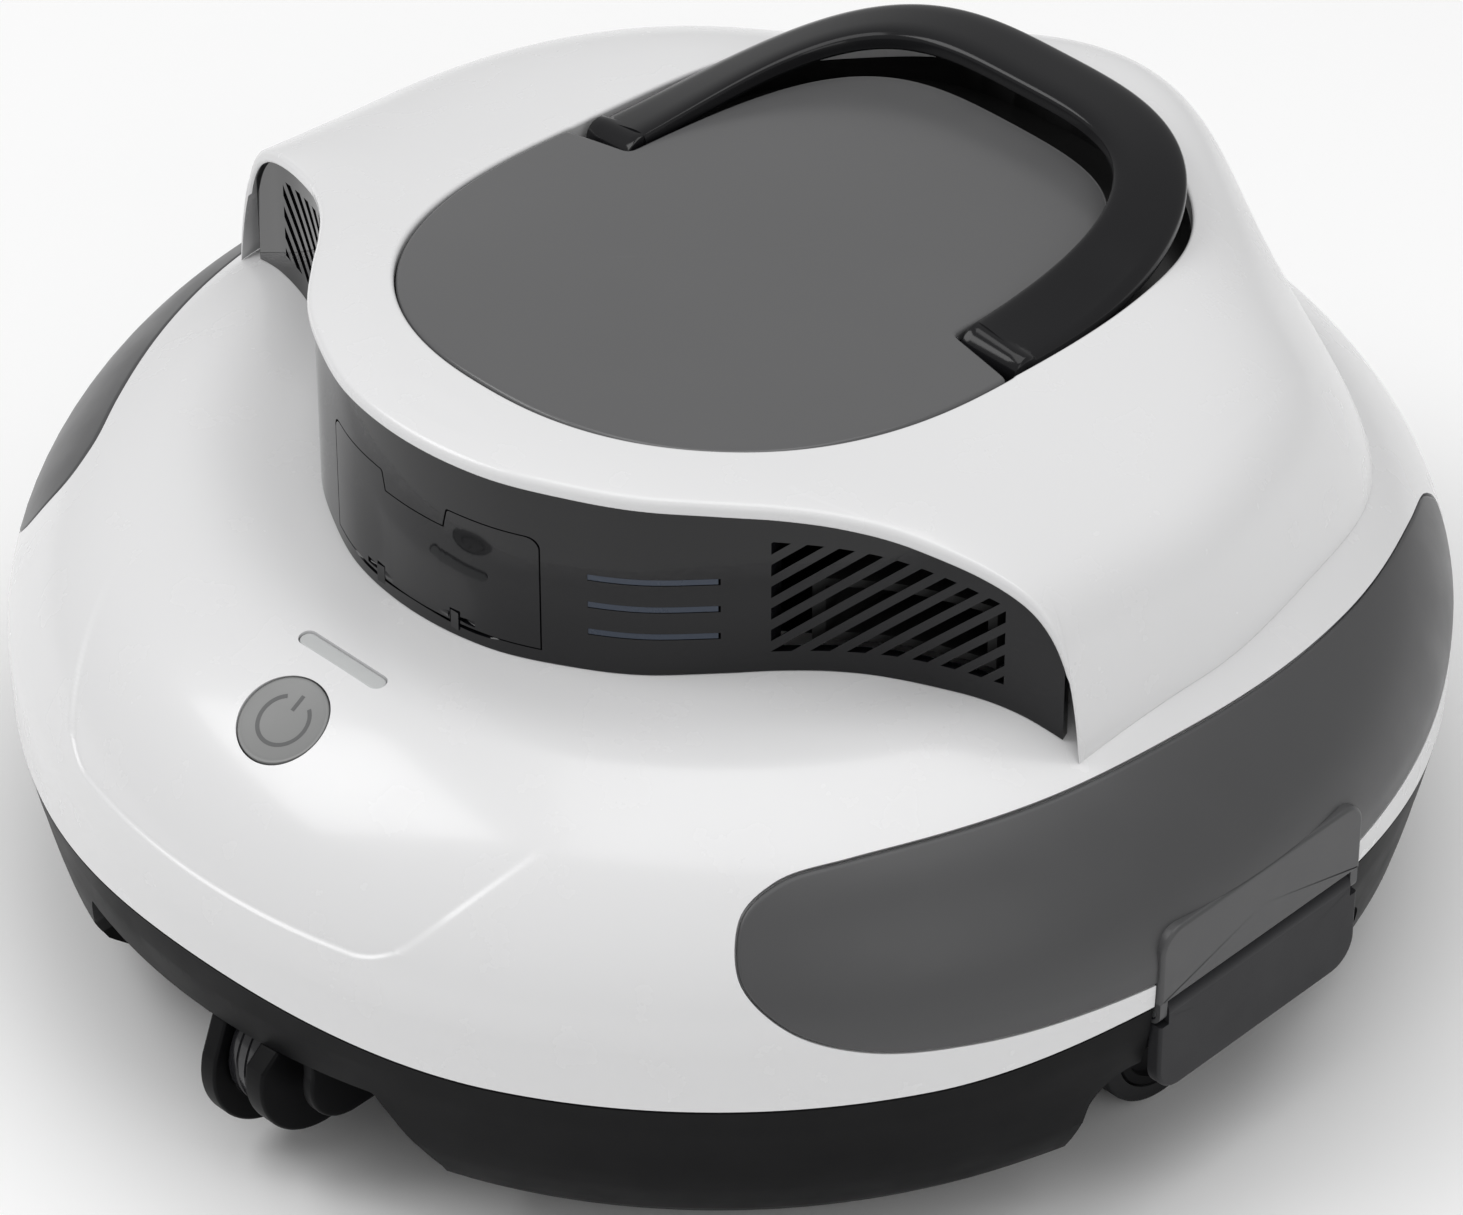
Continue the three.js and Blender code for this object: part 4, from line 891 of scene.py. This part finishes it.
# ---- grey top panel and the carrying handle -----------------------------------
def panel_outline():
    edge = 19.1
    front = super_oval(*OVAL, 900)
    rear = super_oval(*GRIP_IN, 900, -0.6)
    front = front[front[:, 1] < edge]
    rear = rear[rear[:, 1] > edge]
    angle = np.mod(np.arctan2(front[:, 1] - HOOD_Y, front[:, 0]) - 2.6, 2 * math.pi)
    outline = np.vstack([rear, [[-OVAL[0] + 0.2, edge]], front[np.argsort(angle)], [[OVAL[0] - 0.2, edge]]])
    return softened(even(outline, 620), 3)


top_edge = panel_outline()
plate = slab("grip_surround", top_edge, [(0, -12.6)] + rounded_edge(-8, 0, 1.3, 6),
             lambda u, v, h: np.stack([u + 0 * v, v + 0 * u, panel_z(u, v) + h], -1), (0, 5), 26)
ear = box_piece((52, 60.5), (20.0, 36), (150, 182.7))
cut(plate, mirrored(ear, "cutter_left"), ear)
finish_piece(plate, "top_grey", "upper", "top_grey", "top_panel")


def grip_point(shape, t):
    a, b, n = shape
    c, s = np.cos(t), np.sin(t)
    return np.stack([a * np.sign(c) * np.abs(c) ** (2 / n), HOOD_Y + b * np.abs(s) ** (2 / n)], -1)


def grip_line(shape, count):
    """Evenly spaced points of the bow, from one hinge end to the other."""
    a, b, n = shape
    start = math.asin(((HINGE_Y - HOOD_Y) / b) ** (n / 2))
    return even(grip_point(shape, np.linspace(start, math.pi - start, 1600)), count, closed=False)


def handle_piece():
    count = 240
    inner_line, outer_line = grip_line(GRIP_IN, count), grip_line(GRIP_OUT, count)
    rings = []
    turn = np.linspace(0, 2 * np.pi, 44, endpoint=False)
    c, s = np.cos(turn), np.sin(turn)
    across = np.sign(c) * np.abs(c) ** (2 / 3.6)
    up = np.sign(s) * np.abs(s) ** (2 / 3.2)
    for a, b in zip(inner_line, outer_line):
        za = 188.2 + 0.001 * (a[1] - 21) ** 2
        zb = 184.4 - 0.11 * (b[1] - 21) + 0.0019 * (b[1] - 21) ** 2
        share = 0.5 + 0.5 * across
        plan = a + share[:, None] * (b - a)
        top = za + share * (zb - za)
        depth = 7.5 + share * (6.0 - 7.5)
        z = top - depth / 2 + up * (depth / 2)
        rings.append(np.column_stack([plan, z]))
    bow = loft("carry_grip", rings)
    for side in (1, -1):
        profile = [(6.2, 61.2), (7.0, 61.5), (7.3, 62.2)]
        profile += [(7.3 - (x - 62.2) * (2.7 / 17.7), x) for x in np.linspace(64, 79.0, 6)]
        profile += [(4.1, 79.6), (3.4, 79.9)]
        boss = lathe("boss", "x", [(r, side * x) for r, x in profile], (HINGE_Y, HINGE_Z), 72)
        fuse(bow, boss)
    for side in (1, -1):
        cut(bow, rod("x", 2.1, sorted((side * 58, side * 79.2)), (HINGE_Y, HINGE_Z), 32))
    return bow


handle = handle_piece()
handle.name = handle.data.name = "carry_grip"
finish_piece(handle, "handle_black", "handle", "handle_black", "carry_handle", angle=40)

# ---- black fascia, charging door, light bars ----------------------------------
DOOR_HALF, DOOR_LOW, DOOR_TOP, NOTCH_Z = 37.6, 141.8, 177.0, 171.0
DOOR_HINGE = (-114.6, 143.4)
BAND_END = 150.8


def facing(offset, low, high, x_from, x_to, thickness, step=1, rows=2, name="wall"):
    """A wall along the fascia line between two heights given as functions of (x, y)."""
    front, back = fascia(offset, step), fascia(offset + thickness, step)
    keep = (FASCIA[::step, 0] >= x_from) & (FASCIA[::step, 0] <= x_to)
    front, back = front[keep], back[keep]
    lows = [low(p[:, 0], p[:, 1]) + np.zeros(len(p)) for p in (front, back)]
    highs = [high(p[:, 0], p[:, 1]) + np.zeros(len(p)) for p in (front, back)]
    sections = []
    for share in np.linspace(0, 1, rows):
        sections.append(np.column_stack([front, lows[0] + share * (highs[0] - lows[0])]))
    for share in np.linspace(1, 0, rows):
        sections.append(np.column_stack([back, lows[1] + share * (highs[1] - lows[1])]))
    return loft(name, np.array(sections).transpose(1, 0, 2))


def door_outline(grow):
    side, top, low, notch = DOOR_HALF + grow, DOOR_TOP + grow, DOOR_LOW - grow, NOTCH_Z + grow
    points = [(low, -side)]
    points += [(low, side)]
    points += round_corner((top - 3.5, side - 3.5), 3.5, 90, 0, 8)
    points += round_corner((top - 0.9, 12.9 - grow), 0.9, 0, -80, 4)
    points += [(notch, 10.9 - grow), (notch, -10.9 + grow)]
    points += round_corner((top - 0.9, -12.9 + grow), 0.9, 80, 0, 4)
    points += round_corner((top - 3.5, -side + 3.5), 3.5, 0, -90, 8)
    return np.array(points)


VENT_FIELD = [(144.4, 82.8), (180.4, 82.8), (176, 103.8), (170.6, 134.4), (144.4, 134.4)]
VENT_COUNT, VENT_HALF = 13, 1.3


def clipped(points, field):
    """The part of a polygon inside a convex field; both run the same way round in (z, x)."""
    for a, b in zip(field, field[1:] + field[:1]):
        edge = np.subtract(b, a)
        depth = [edge[0] * (p[1] - a[1]) - edge[1] * (p[0] - a[0]) for p in points]
        kept = []
        for k, (p, d) in enumerate(zip(points, depth)):
            q, e = points[(k + 1) % len(points)], depth[(k + 1) % len(points)]
            if d >= 0:
                kept.append(p)
            if (d >= 0) != (e >= 0):
                kept.append(p + (q - p) * d / (d - e))
        points = kept
    return points


def vent_slot(k):
    """One slot leaning outward at 45 degrees, or None where it misses the field."""
    middle = np.array([162, 67.3 + (151 - 67.3) * k / (VENT_COUNT - 1)])
    lean, side = np.array([1, 1]) / math.sqrt(2), np.array([1, -1]) / math.sqrt(2)
    corners = ((-60, -1), (60, -1), (60, 1), (-60, 1))
    points = clipped([middle + a * lean + b * VENT_HALF * side for a, b in corners], VENT_FIELD)
    if len(points) < 3:
        return None
    points = np.array(points)
    x, y = points.T
    area = 0.5 * float(np.sum(x * np.roll(y, -1) - y * np.roll(x, -1)))
    if abs(area) < 1.5:
        return None
    return points if area > 0 else points[::-1]


band = facing(0, lambda x, y: dome_z(x, y) + 0.25, lambda x, y: hood_z(x, y) - 2.2, -BAND_END, BAND_END, BAND_T,
              rows=2, name="fascia_band")
cut(band, prism("y", door_outline(0.4), (-135, -100)))
cut(band, rod("x", 2.85, (-DOOR_HALF, DOOR_HALF), DOOR_HINGE, 48))
for slot in filter(lambda points: points is not None, map(vent_slot, range(VENT_COUNT))):
    opening = prism("y", slot, (-112, -20))
    cut(band, mirrored(opening, "opening_left"), opening)
LIGHT_X, LIGHT_Z = (48.8, 74.2), (167.7, 159.0, 150.3)
flat = {"upper": LIGHT_Z[0], "middle": LIGHT_Z[1], "lower": LIGHT_Z[2]}
for z in LIGHT_Z:
    cut(band, facing(-1, lambda x, y, z=z: z - 1.0, lambda x, y, z=z: z + 1.0, LIGHT_X[0] - 0.3, LIGHT_X[1] + 0.3, 5))
for x in (-15.2, 12.4):
    fuse(band, box_piece((x, x + 2.8), (DOOR_HINGE[0] - 1.2, DOOR_HINGE[0] + 1.2), (139.6, 145.2)))
cut(band, rod("x", 0.9, (-16, 16), DOOR_HINGE, 24))
finish_piece(band, "gloss_black", "upper", "gloss_black", "front_band")

for name, z in flat.items():
    bar = facing(0.15, lambda x, y, z=z: z - 0.85, lambda x, y, z=z: z + 0.85, LIGHT_X[0], LIGHT_X[1], 1.8,
                 rows=3, name=f"light_{name}")
    finish_piece(bar, "led_lens", "upper", "led_lens", f"led_bar_{name}")

door = facing(0, lambda x, y: 140.0, lambda x, y: 180.0, -DOOR_HALF - 2, DOOR_HALF + 2, BAND_T, name="port_door")
boolean(door, prism("y", door_outline(0), (-135, -100)), "INTERSECT")
boolean(door, rod("x", 33.95, (-50, 50), DOOR_HINGE, 360), "INTERSECT")
for x in (-15.5, 12.1):
    cut(door, box_piece((x, x + 3.4), (-121, -106), (139, 145.7)))
fuse(door, rod("x", 1.6, (-11.8, 11.8), DOOR_HINGE, 32))
cut(door, rod("x", 0.9, (-20, 20), DOOR_HINGE, 24))
door.name = door.data.name = "port_door"
finish_piece(door, "gloss_black", "door", "gloss_black", "charge_door")

# ---- base ---------------------------------------------------------------------
SKIRT = [(172, 8.3), (176.8, 13), (185.5, 21), (191, 33), (195, 50), (197.4, 62)]
ARCH_HALF, ARCH_TOP, END_TOP, END_WELL, SIDE_WELL = 53.0, 50.0, 58.0, 150.0, 135.0
END_ARCH = [(66, -5), (66, 24), (63, 32), (60.5, 36.3), (57.7, 42.7), (55, 50)]


def skirt_solid(inset, theta):
    radii = [r for r, _ in SKIRT]
    lows = [z for _, z in SKIRT]
    z_fine = np.concatenate([np.linspace(a, b, 4)[:-1] for a, b in zip(lows[:-1], lows[1:])] + [[62.0]])
    from_low = np.interp(z_fine, lows, radii)
    smooth = np.convolve(np.pad(from_low, 2, mode="reflect", reflect_type="odd"), [0.1, 0.2, 0.4, 0.2, 0.1], "valid")
    rings = [body_ring(theta, r - inset, z + (inset if z < 20 else 0)) for r, z in zip(smooth, z_fine)]
    rim = part_z(theta) - 0.4 + (5 if inset > 0 else 0)
    rings.append(body_ring(theta, 198.0 - inset, rim - 1.0))
    rings.append(body_ring(theta, 198.1 - inset, rim - 0.4))
    rings.append(body_ring(theta, 197.7 - inset, rim))
    return loft("skirt", np.array(rings))


def arch(axis, half, top, span, r=12.0):
    points = [(-half, -5), (half, -5)] + round_corner((half - r, top - r), r, 0, 90, 14)
    points += round_corner((-half + r, top - r), r, 90, 180, 14)
    points = np.array(points)
    if axis == "y":
        points = points[:, ::-1][::-1]
    return prism(axis, points, span)


def end_arch(grow, top, span):
    """The flared front and rear arch, grown sideways and upward."""
    right = [(x + grow, z) for x, z in END_ARCH[:-1]]
    right += round_corner((END_ARCH[-1][0] + grow - 2, top - 2), 2, 12, 90, 6)
    points = np.array(right + [(-x, z) for x, z in right[::-1]])
    return prism("y", points[:, ::-1][::-1], span)


def base_piece():
    theta = np.radians(np.arange(0, 360, 0.9))
    envelope = skirt_solid(0, theta)
    tray = skirt_solid(0, theta)
    cut(tray, skirt_solid(3.0, theta[::2]))
    t = 2.5
    walls = end_arch(t, END_TOP + t, (END_WELL - t, 210))
    fuse(walls, arch("x", ARCH_HALF + t, ARCH_TOP + t, (SIDE_WELL - t, 210)))
    fuse(walls, box_piece((-20, 20), (104, 136), (8.3, 28)))
    fuse(walls, box_piece((176, 184.2), (-45, 45), (ARCH_TOP, 71)))
    hollows = end_arch(0, ARCH_TOP, (END_WELL, 210))
    deep = end_arch(0, END_TOP, (END_WELL, 190.2))
    boolean(deep, skirt_solid(4.0, theta[::2]), "INTERSECT")
    fuse(hollows, deep)
    fuse(hollows, arch("x", ARCH_HALF, ARCH_TOP, (SIDE_WELL, 210)))
    fuse(hollows, box_piece((-18, 18), (106, 134), (-5, 26)))
    fuse(hollows, box_piece((184.4, 210), (-LATCH_HALF - 1, LATCH_HALF + 1), (30, 90)))
    boolean(walls, envelope, "INTERSECT")
    fuse(tray, mirrored(walls, "w2", (X, Y)), walls)
    fuse(tray, box_piece((-47.5, 47.5), (-19, 19), (8.3, 23.4)))
    for x in (-49, 46):
        for y in (-18.5, 18.5):
            fuse(tray, box_piece((x, x + 3), (y - 3, y + 3), (22, 29)))
    cut(tray, mirrored(hollows, "h2", (X, Y)), hollows)
    cut(tray, box_piece((-45, 45), (-16.5, 16.5), (0, 40)))
    for y in (-18.5, 18.5):
        cut(tray, rod("x", 1.5, (-60, 60), (y, 26.4), 16))
    cut(tray, rod("x", 4.3, (-150, 150), (0, 25), 32))
    for y in (-120, 120):
        cut(tray, rod("x", 2.5, (-19.2, 19.2), (y, 12), 24))
    return tray


base = base_piece()
base.name = base.data.name = "base_moulding"
finish_piece(base, "base_black", "base", "base_black", "base_tray", angle=28)

# ---- guards, bumper rollers, wheels -------------------------------------------
ROLLER_Y, ROLLER_Z, ROLLER_R = 175.5, 35.4, 19.5
# Faces, then the centre and radius of the nose, then the top corner.
RIBS = [
    ((0.9, 6.6), 174.9, 31.5, 24.4, 194),
    ((18.7, 25.4), 176.2, 39.1, 23.18, 193),
    ((32.2, 36.2), 176.5, 41.3, 15, 191),
]


def rib(faces, y, z, r, top):
    under = ARCH_TOP - 0.4
    points = [(-151, max(16, z - r)), (-151, under), (-top, under)]
    for i in range(31):
        t = math.radians(165 + 105 * i / 30)
        points.append((-y + r * math.cos(t), z + r * math.sin(t)))
    return slab("rib", even(points, 240), both_edges(*faces, 0.9, 4), lambda u, v, h: along("x", u, v, h), (-172, 37))


guard = rib(*RIBS[0])
fuse(guard, rib(*RIBS[1]), rib(*RIBS[2]), box_piece((-2, 39), (-153, -150.4), (14, ARCH_TOP - 0.4)))
cut(guard, rod("x", 3.3, (-5, 35.2), (-ROLLER_Y, ROLLER_Z), 32))
guard.name = guard.data.name = "guard_ribs_front"
rear_guard = mirrored(guard, "guard_ribs_rear", (X, Y))
finish_piece(guard, "base_black", "base", "base_black", "guard_front")
finish_piece(rear_guard, "base_black", "base", "base_black", "guard_rear")

R, G = ROLLER_R, ROLLER_R - 0.5
drum_profile = [(3.3, 7.0), (R - 1.2, 7.0), (R - 0.3, 7.4), (R, 8.2), (R, 10.4), (G, 10.7), (G, 11.3), (R, 11.6)]
drum_profile += [(R, 13.6), (G, 13.9), (G, 14.5), (R, 14.8), (R, 17.1), (R - 0.3, 17.9), (R - 1.2, 18.3), (3.3, 18.3)]


def tube(name, axis, profile, centre, count=96):
    """A turned ring whose profile closes on itself."""
    rings = []
    for radius, place in profile:
        ring = circle(radius, centre, count)
        rings.append(along(axis, ring[:, 0], ring[:, 1], place))
    return loft(name, np.array(rings), closed=True)


roller = tube("nose_roller_front", "x", drum_profile, (-ROLLER_Y, ROLLER_Z))
rear_roller = mirrored(roller, "nose_roller_rear", (X, Y))
finish_piece(roller, "roller_black", "bumper_front", "roller_black", "bumper_roller_front")
finish_piece(rear_roller, "roller_black", "bumper_rear", "roller_black", "bumper_roller_rear")

tyre_profile = [(20.3, 147.0), (24.0, 147.0), (24.8, 147.4), (25.0, 148.2)]
for x in np.arange(149.4, 161.0, 2.2):
    tyre_profile += [(25.0, x), (24.3, x + 0.3), (24.3, x + 0.8), (25.0, x + 1.1)]
tyre_profile += [(25.0, 161.8), (24.8, 162.6), (24.0, 163.0), (20.3, 163.0)]
tyre = tube("wheel_tyre_right", "x", tyre_profile, (0, 25), 120)
tyre_left = mirrored(tyre, "wheel_tyre_left")
finish_piece(tyre, "tyre_rubber", "wheel_right", "tyre_rubber", "tyre_right")
finish_piece(tyre_left, "tyre_rubber", "wheel_left", "tyre_rubber", "tyre_left")

hub_profile = [(4.3, 136.0), (8.6, 136.0), (9.0, 136.4), (9.0, 147.0), (19.4, 147.0), (20.0, 147.6), (20.0, 162.4)]
hub_profile += [(19.4, 163.0), (17.0, 163.0), (16.4, 161.2), (9.6, 161.2), (9.0, 163.0), (4.3, 163.0)]
hub = tube("wheel_hub_right", "x", hub_profile, (0, 25), 96)
hub_left = mirrored(hub, "wheel_hub_left")
finish_piece(hub, "base_black", "wheel_right", "base_black", "side_wheel_right")
finish_piece(hub_left, "base_black", "wheel_left", "base_black", "side_wheel_left")

belly = [(2.2, -19.0), (2.2, -16.0), (11.2, -16.0), (12.0, -15.2)]
for x in np.arange(-13.6, 13.0, 3.2):
    belly += [(12.0, x), (11.4, x + 0.3), (11.4, x + 0.9), (12.0, x + 1.2)]
belly += [(12.0, 15.2), (11.2, 16.0), (2.2, 16.0), (2.2, 19.0)]
small = lathe("floor_roller_front", "x", [(0.4, -19.0)] + belly + [(0.4, 19.0)], (-120, 12), 72)
small_rear = mirrored(small, "floor_roller_rear", (X, Y))
finish_piece(small, "tyre_rubber", "under_front", "tyre_rubber", "under_roller_front")
finish_piece(small_rear, "tyre_rubber", "under_rear", "tyre_rubber", "under_roller_rear")

# ---- finishes of the frame's own nodes -----------------------------------------
SLOT_OF = {}
for row in frame["record"].get("materials", []):
    for node_name in row.get("nodes", []):
        SLOT_OF[node_name] = row["slot"]
for node_name, obj in NODES.items():
    slot = SLOT_OF.get(node_name)
    if slot in LOOK:
        for k in range(len(obj.material_slots)):
            obj.material_slots[k].material = LOOK[slot]

# ---- floor, light and camera ----------------------------------------------------
def plain(name, colour, roughness):
    material = bpy.data.materials.new(name)
    material.use_nodes = True
    shader = material.node_tree.nodes["Principled BSDF"]
    shader.inputs["Base Color"].default_value = (*colour, 1)
    shader.inputs["Roughness"].default_value = roughness
    shader.inputs["Specular IOR Level"].default_value = 0.1
    return material


floor_size = 6.0
mesh = bpy.data.meshes.new("studio_floor")
corner = floor_size / 2
mesh.from_pydata([(-corner, -corner, 0), (corner, -corner, 0), (corner, corner, 0), (-corner, corner, 0)], [],
                 [(0, 1, 2, 3)])
floor = bpy.data.objects.new("studio_floor", mesh)
bpy.context.scene.collection.objects.link(floor)
mesh.materials.append(plain("studio_floor", (0.97, 0.97, 0.97), 0.8))
floor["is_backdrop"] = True


def area_light(name, place, aim, size, power):
    data = bpy.data.lights.new(name, "AREA")
    data.shape = "RECTANGLE"
    data.size, data.size_y = size
    data.energy = power
    obj = bpy.data.objects.new(name, data)
    bpy.context.scene.collection.objects.link(obj)
    obj.location = place
    direction = obj.location - Vector(aim)
    obj.rotation_euler = direction.to_track_quat("Z", "Y").to_euler()
    return obj


AIM = (0.0, 0.0, 0.1)
# Name, place and size in metres, and power in watts.
SOFT_BOXES = (
    ("key_box", (-1.0, -1.1, 1.9), (1.3, 1.3), 18),
    ("top_box", (0.3, 0.2, 2.2), (1.8, 1.8), 19),
    ("right_box", (1.9, -0.5, 1.0), (1.0, 1.2), 4),
)
for box_name, place, size, power in SOFT_BOXES:
    area_light(box_name, place, AIM, size, power)

world = bpy.data.worlds.new("studio")
bpy.context.scene.world = world
world.use_nodes = True
world.node_tree.nodes["Background"].inputs["Color"].default_value = (1, 1, 1, 1)
world.node_tree.nodes["Background"].inputs["Strength"].default_value = 0.46

AZIMUTH, ELEVATION = math.radians(44.54), math.radians(38.1)
TARGET = np.array([23.1, -23.6, 100.0])
DISTANCE = 1892.0
toward = np.array([math.sin(AZIMUTH) * math.cos(ELEVATION), -math.cos(AZIMUTH) * math.cos(ELEVATION),
                   math.sin(ELEVATION)])
camera_data = bpy.data.cameras.new("view_camera")
camera_data.lens = 7068 / 1463 * 36
camera_data.sensor_width = 36
camera_data.clip_end = 50
camera = bpy.data.objects.new("view_camera", camera_data)
bpy.context.scene.collection.objects.link(camera)
camera.location = (TARGET + DISTANCE * toward) * MM
camera.rotation_euler = Vector(toward).to_track_quat("Z", "Y").to_euler()
bpy.context.scene.camera = camera
bpy.context.scene.view_settings.view_transform = "Standard"

boxes = {"cad": cad_box, "visual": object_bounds()}
{key: [[float(v) for v in corner] for corner in pair] for key, pair in boxes.items()}
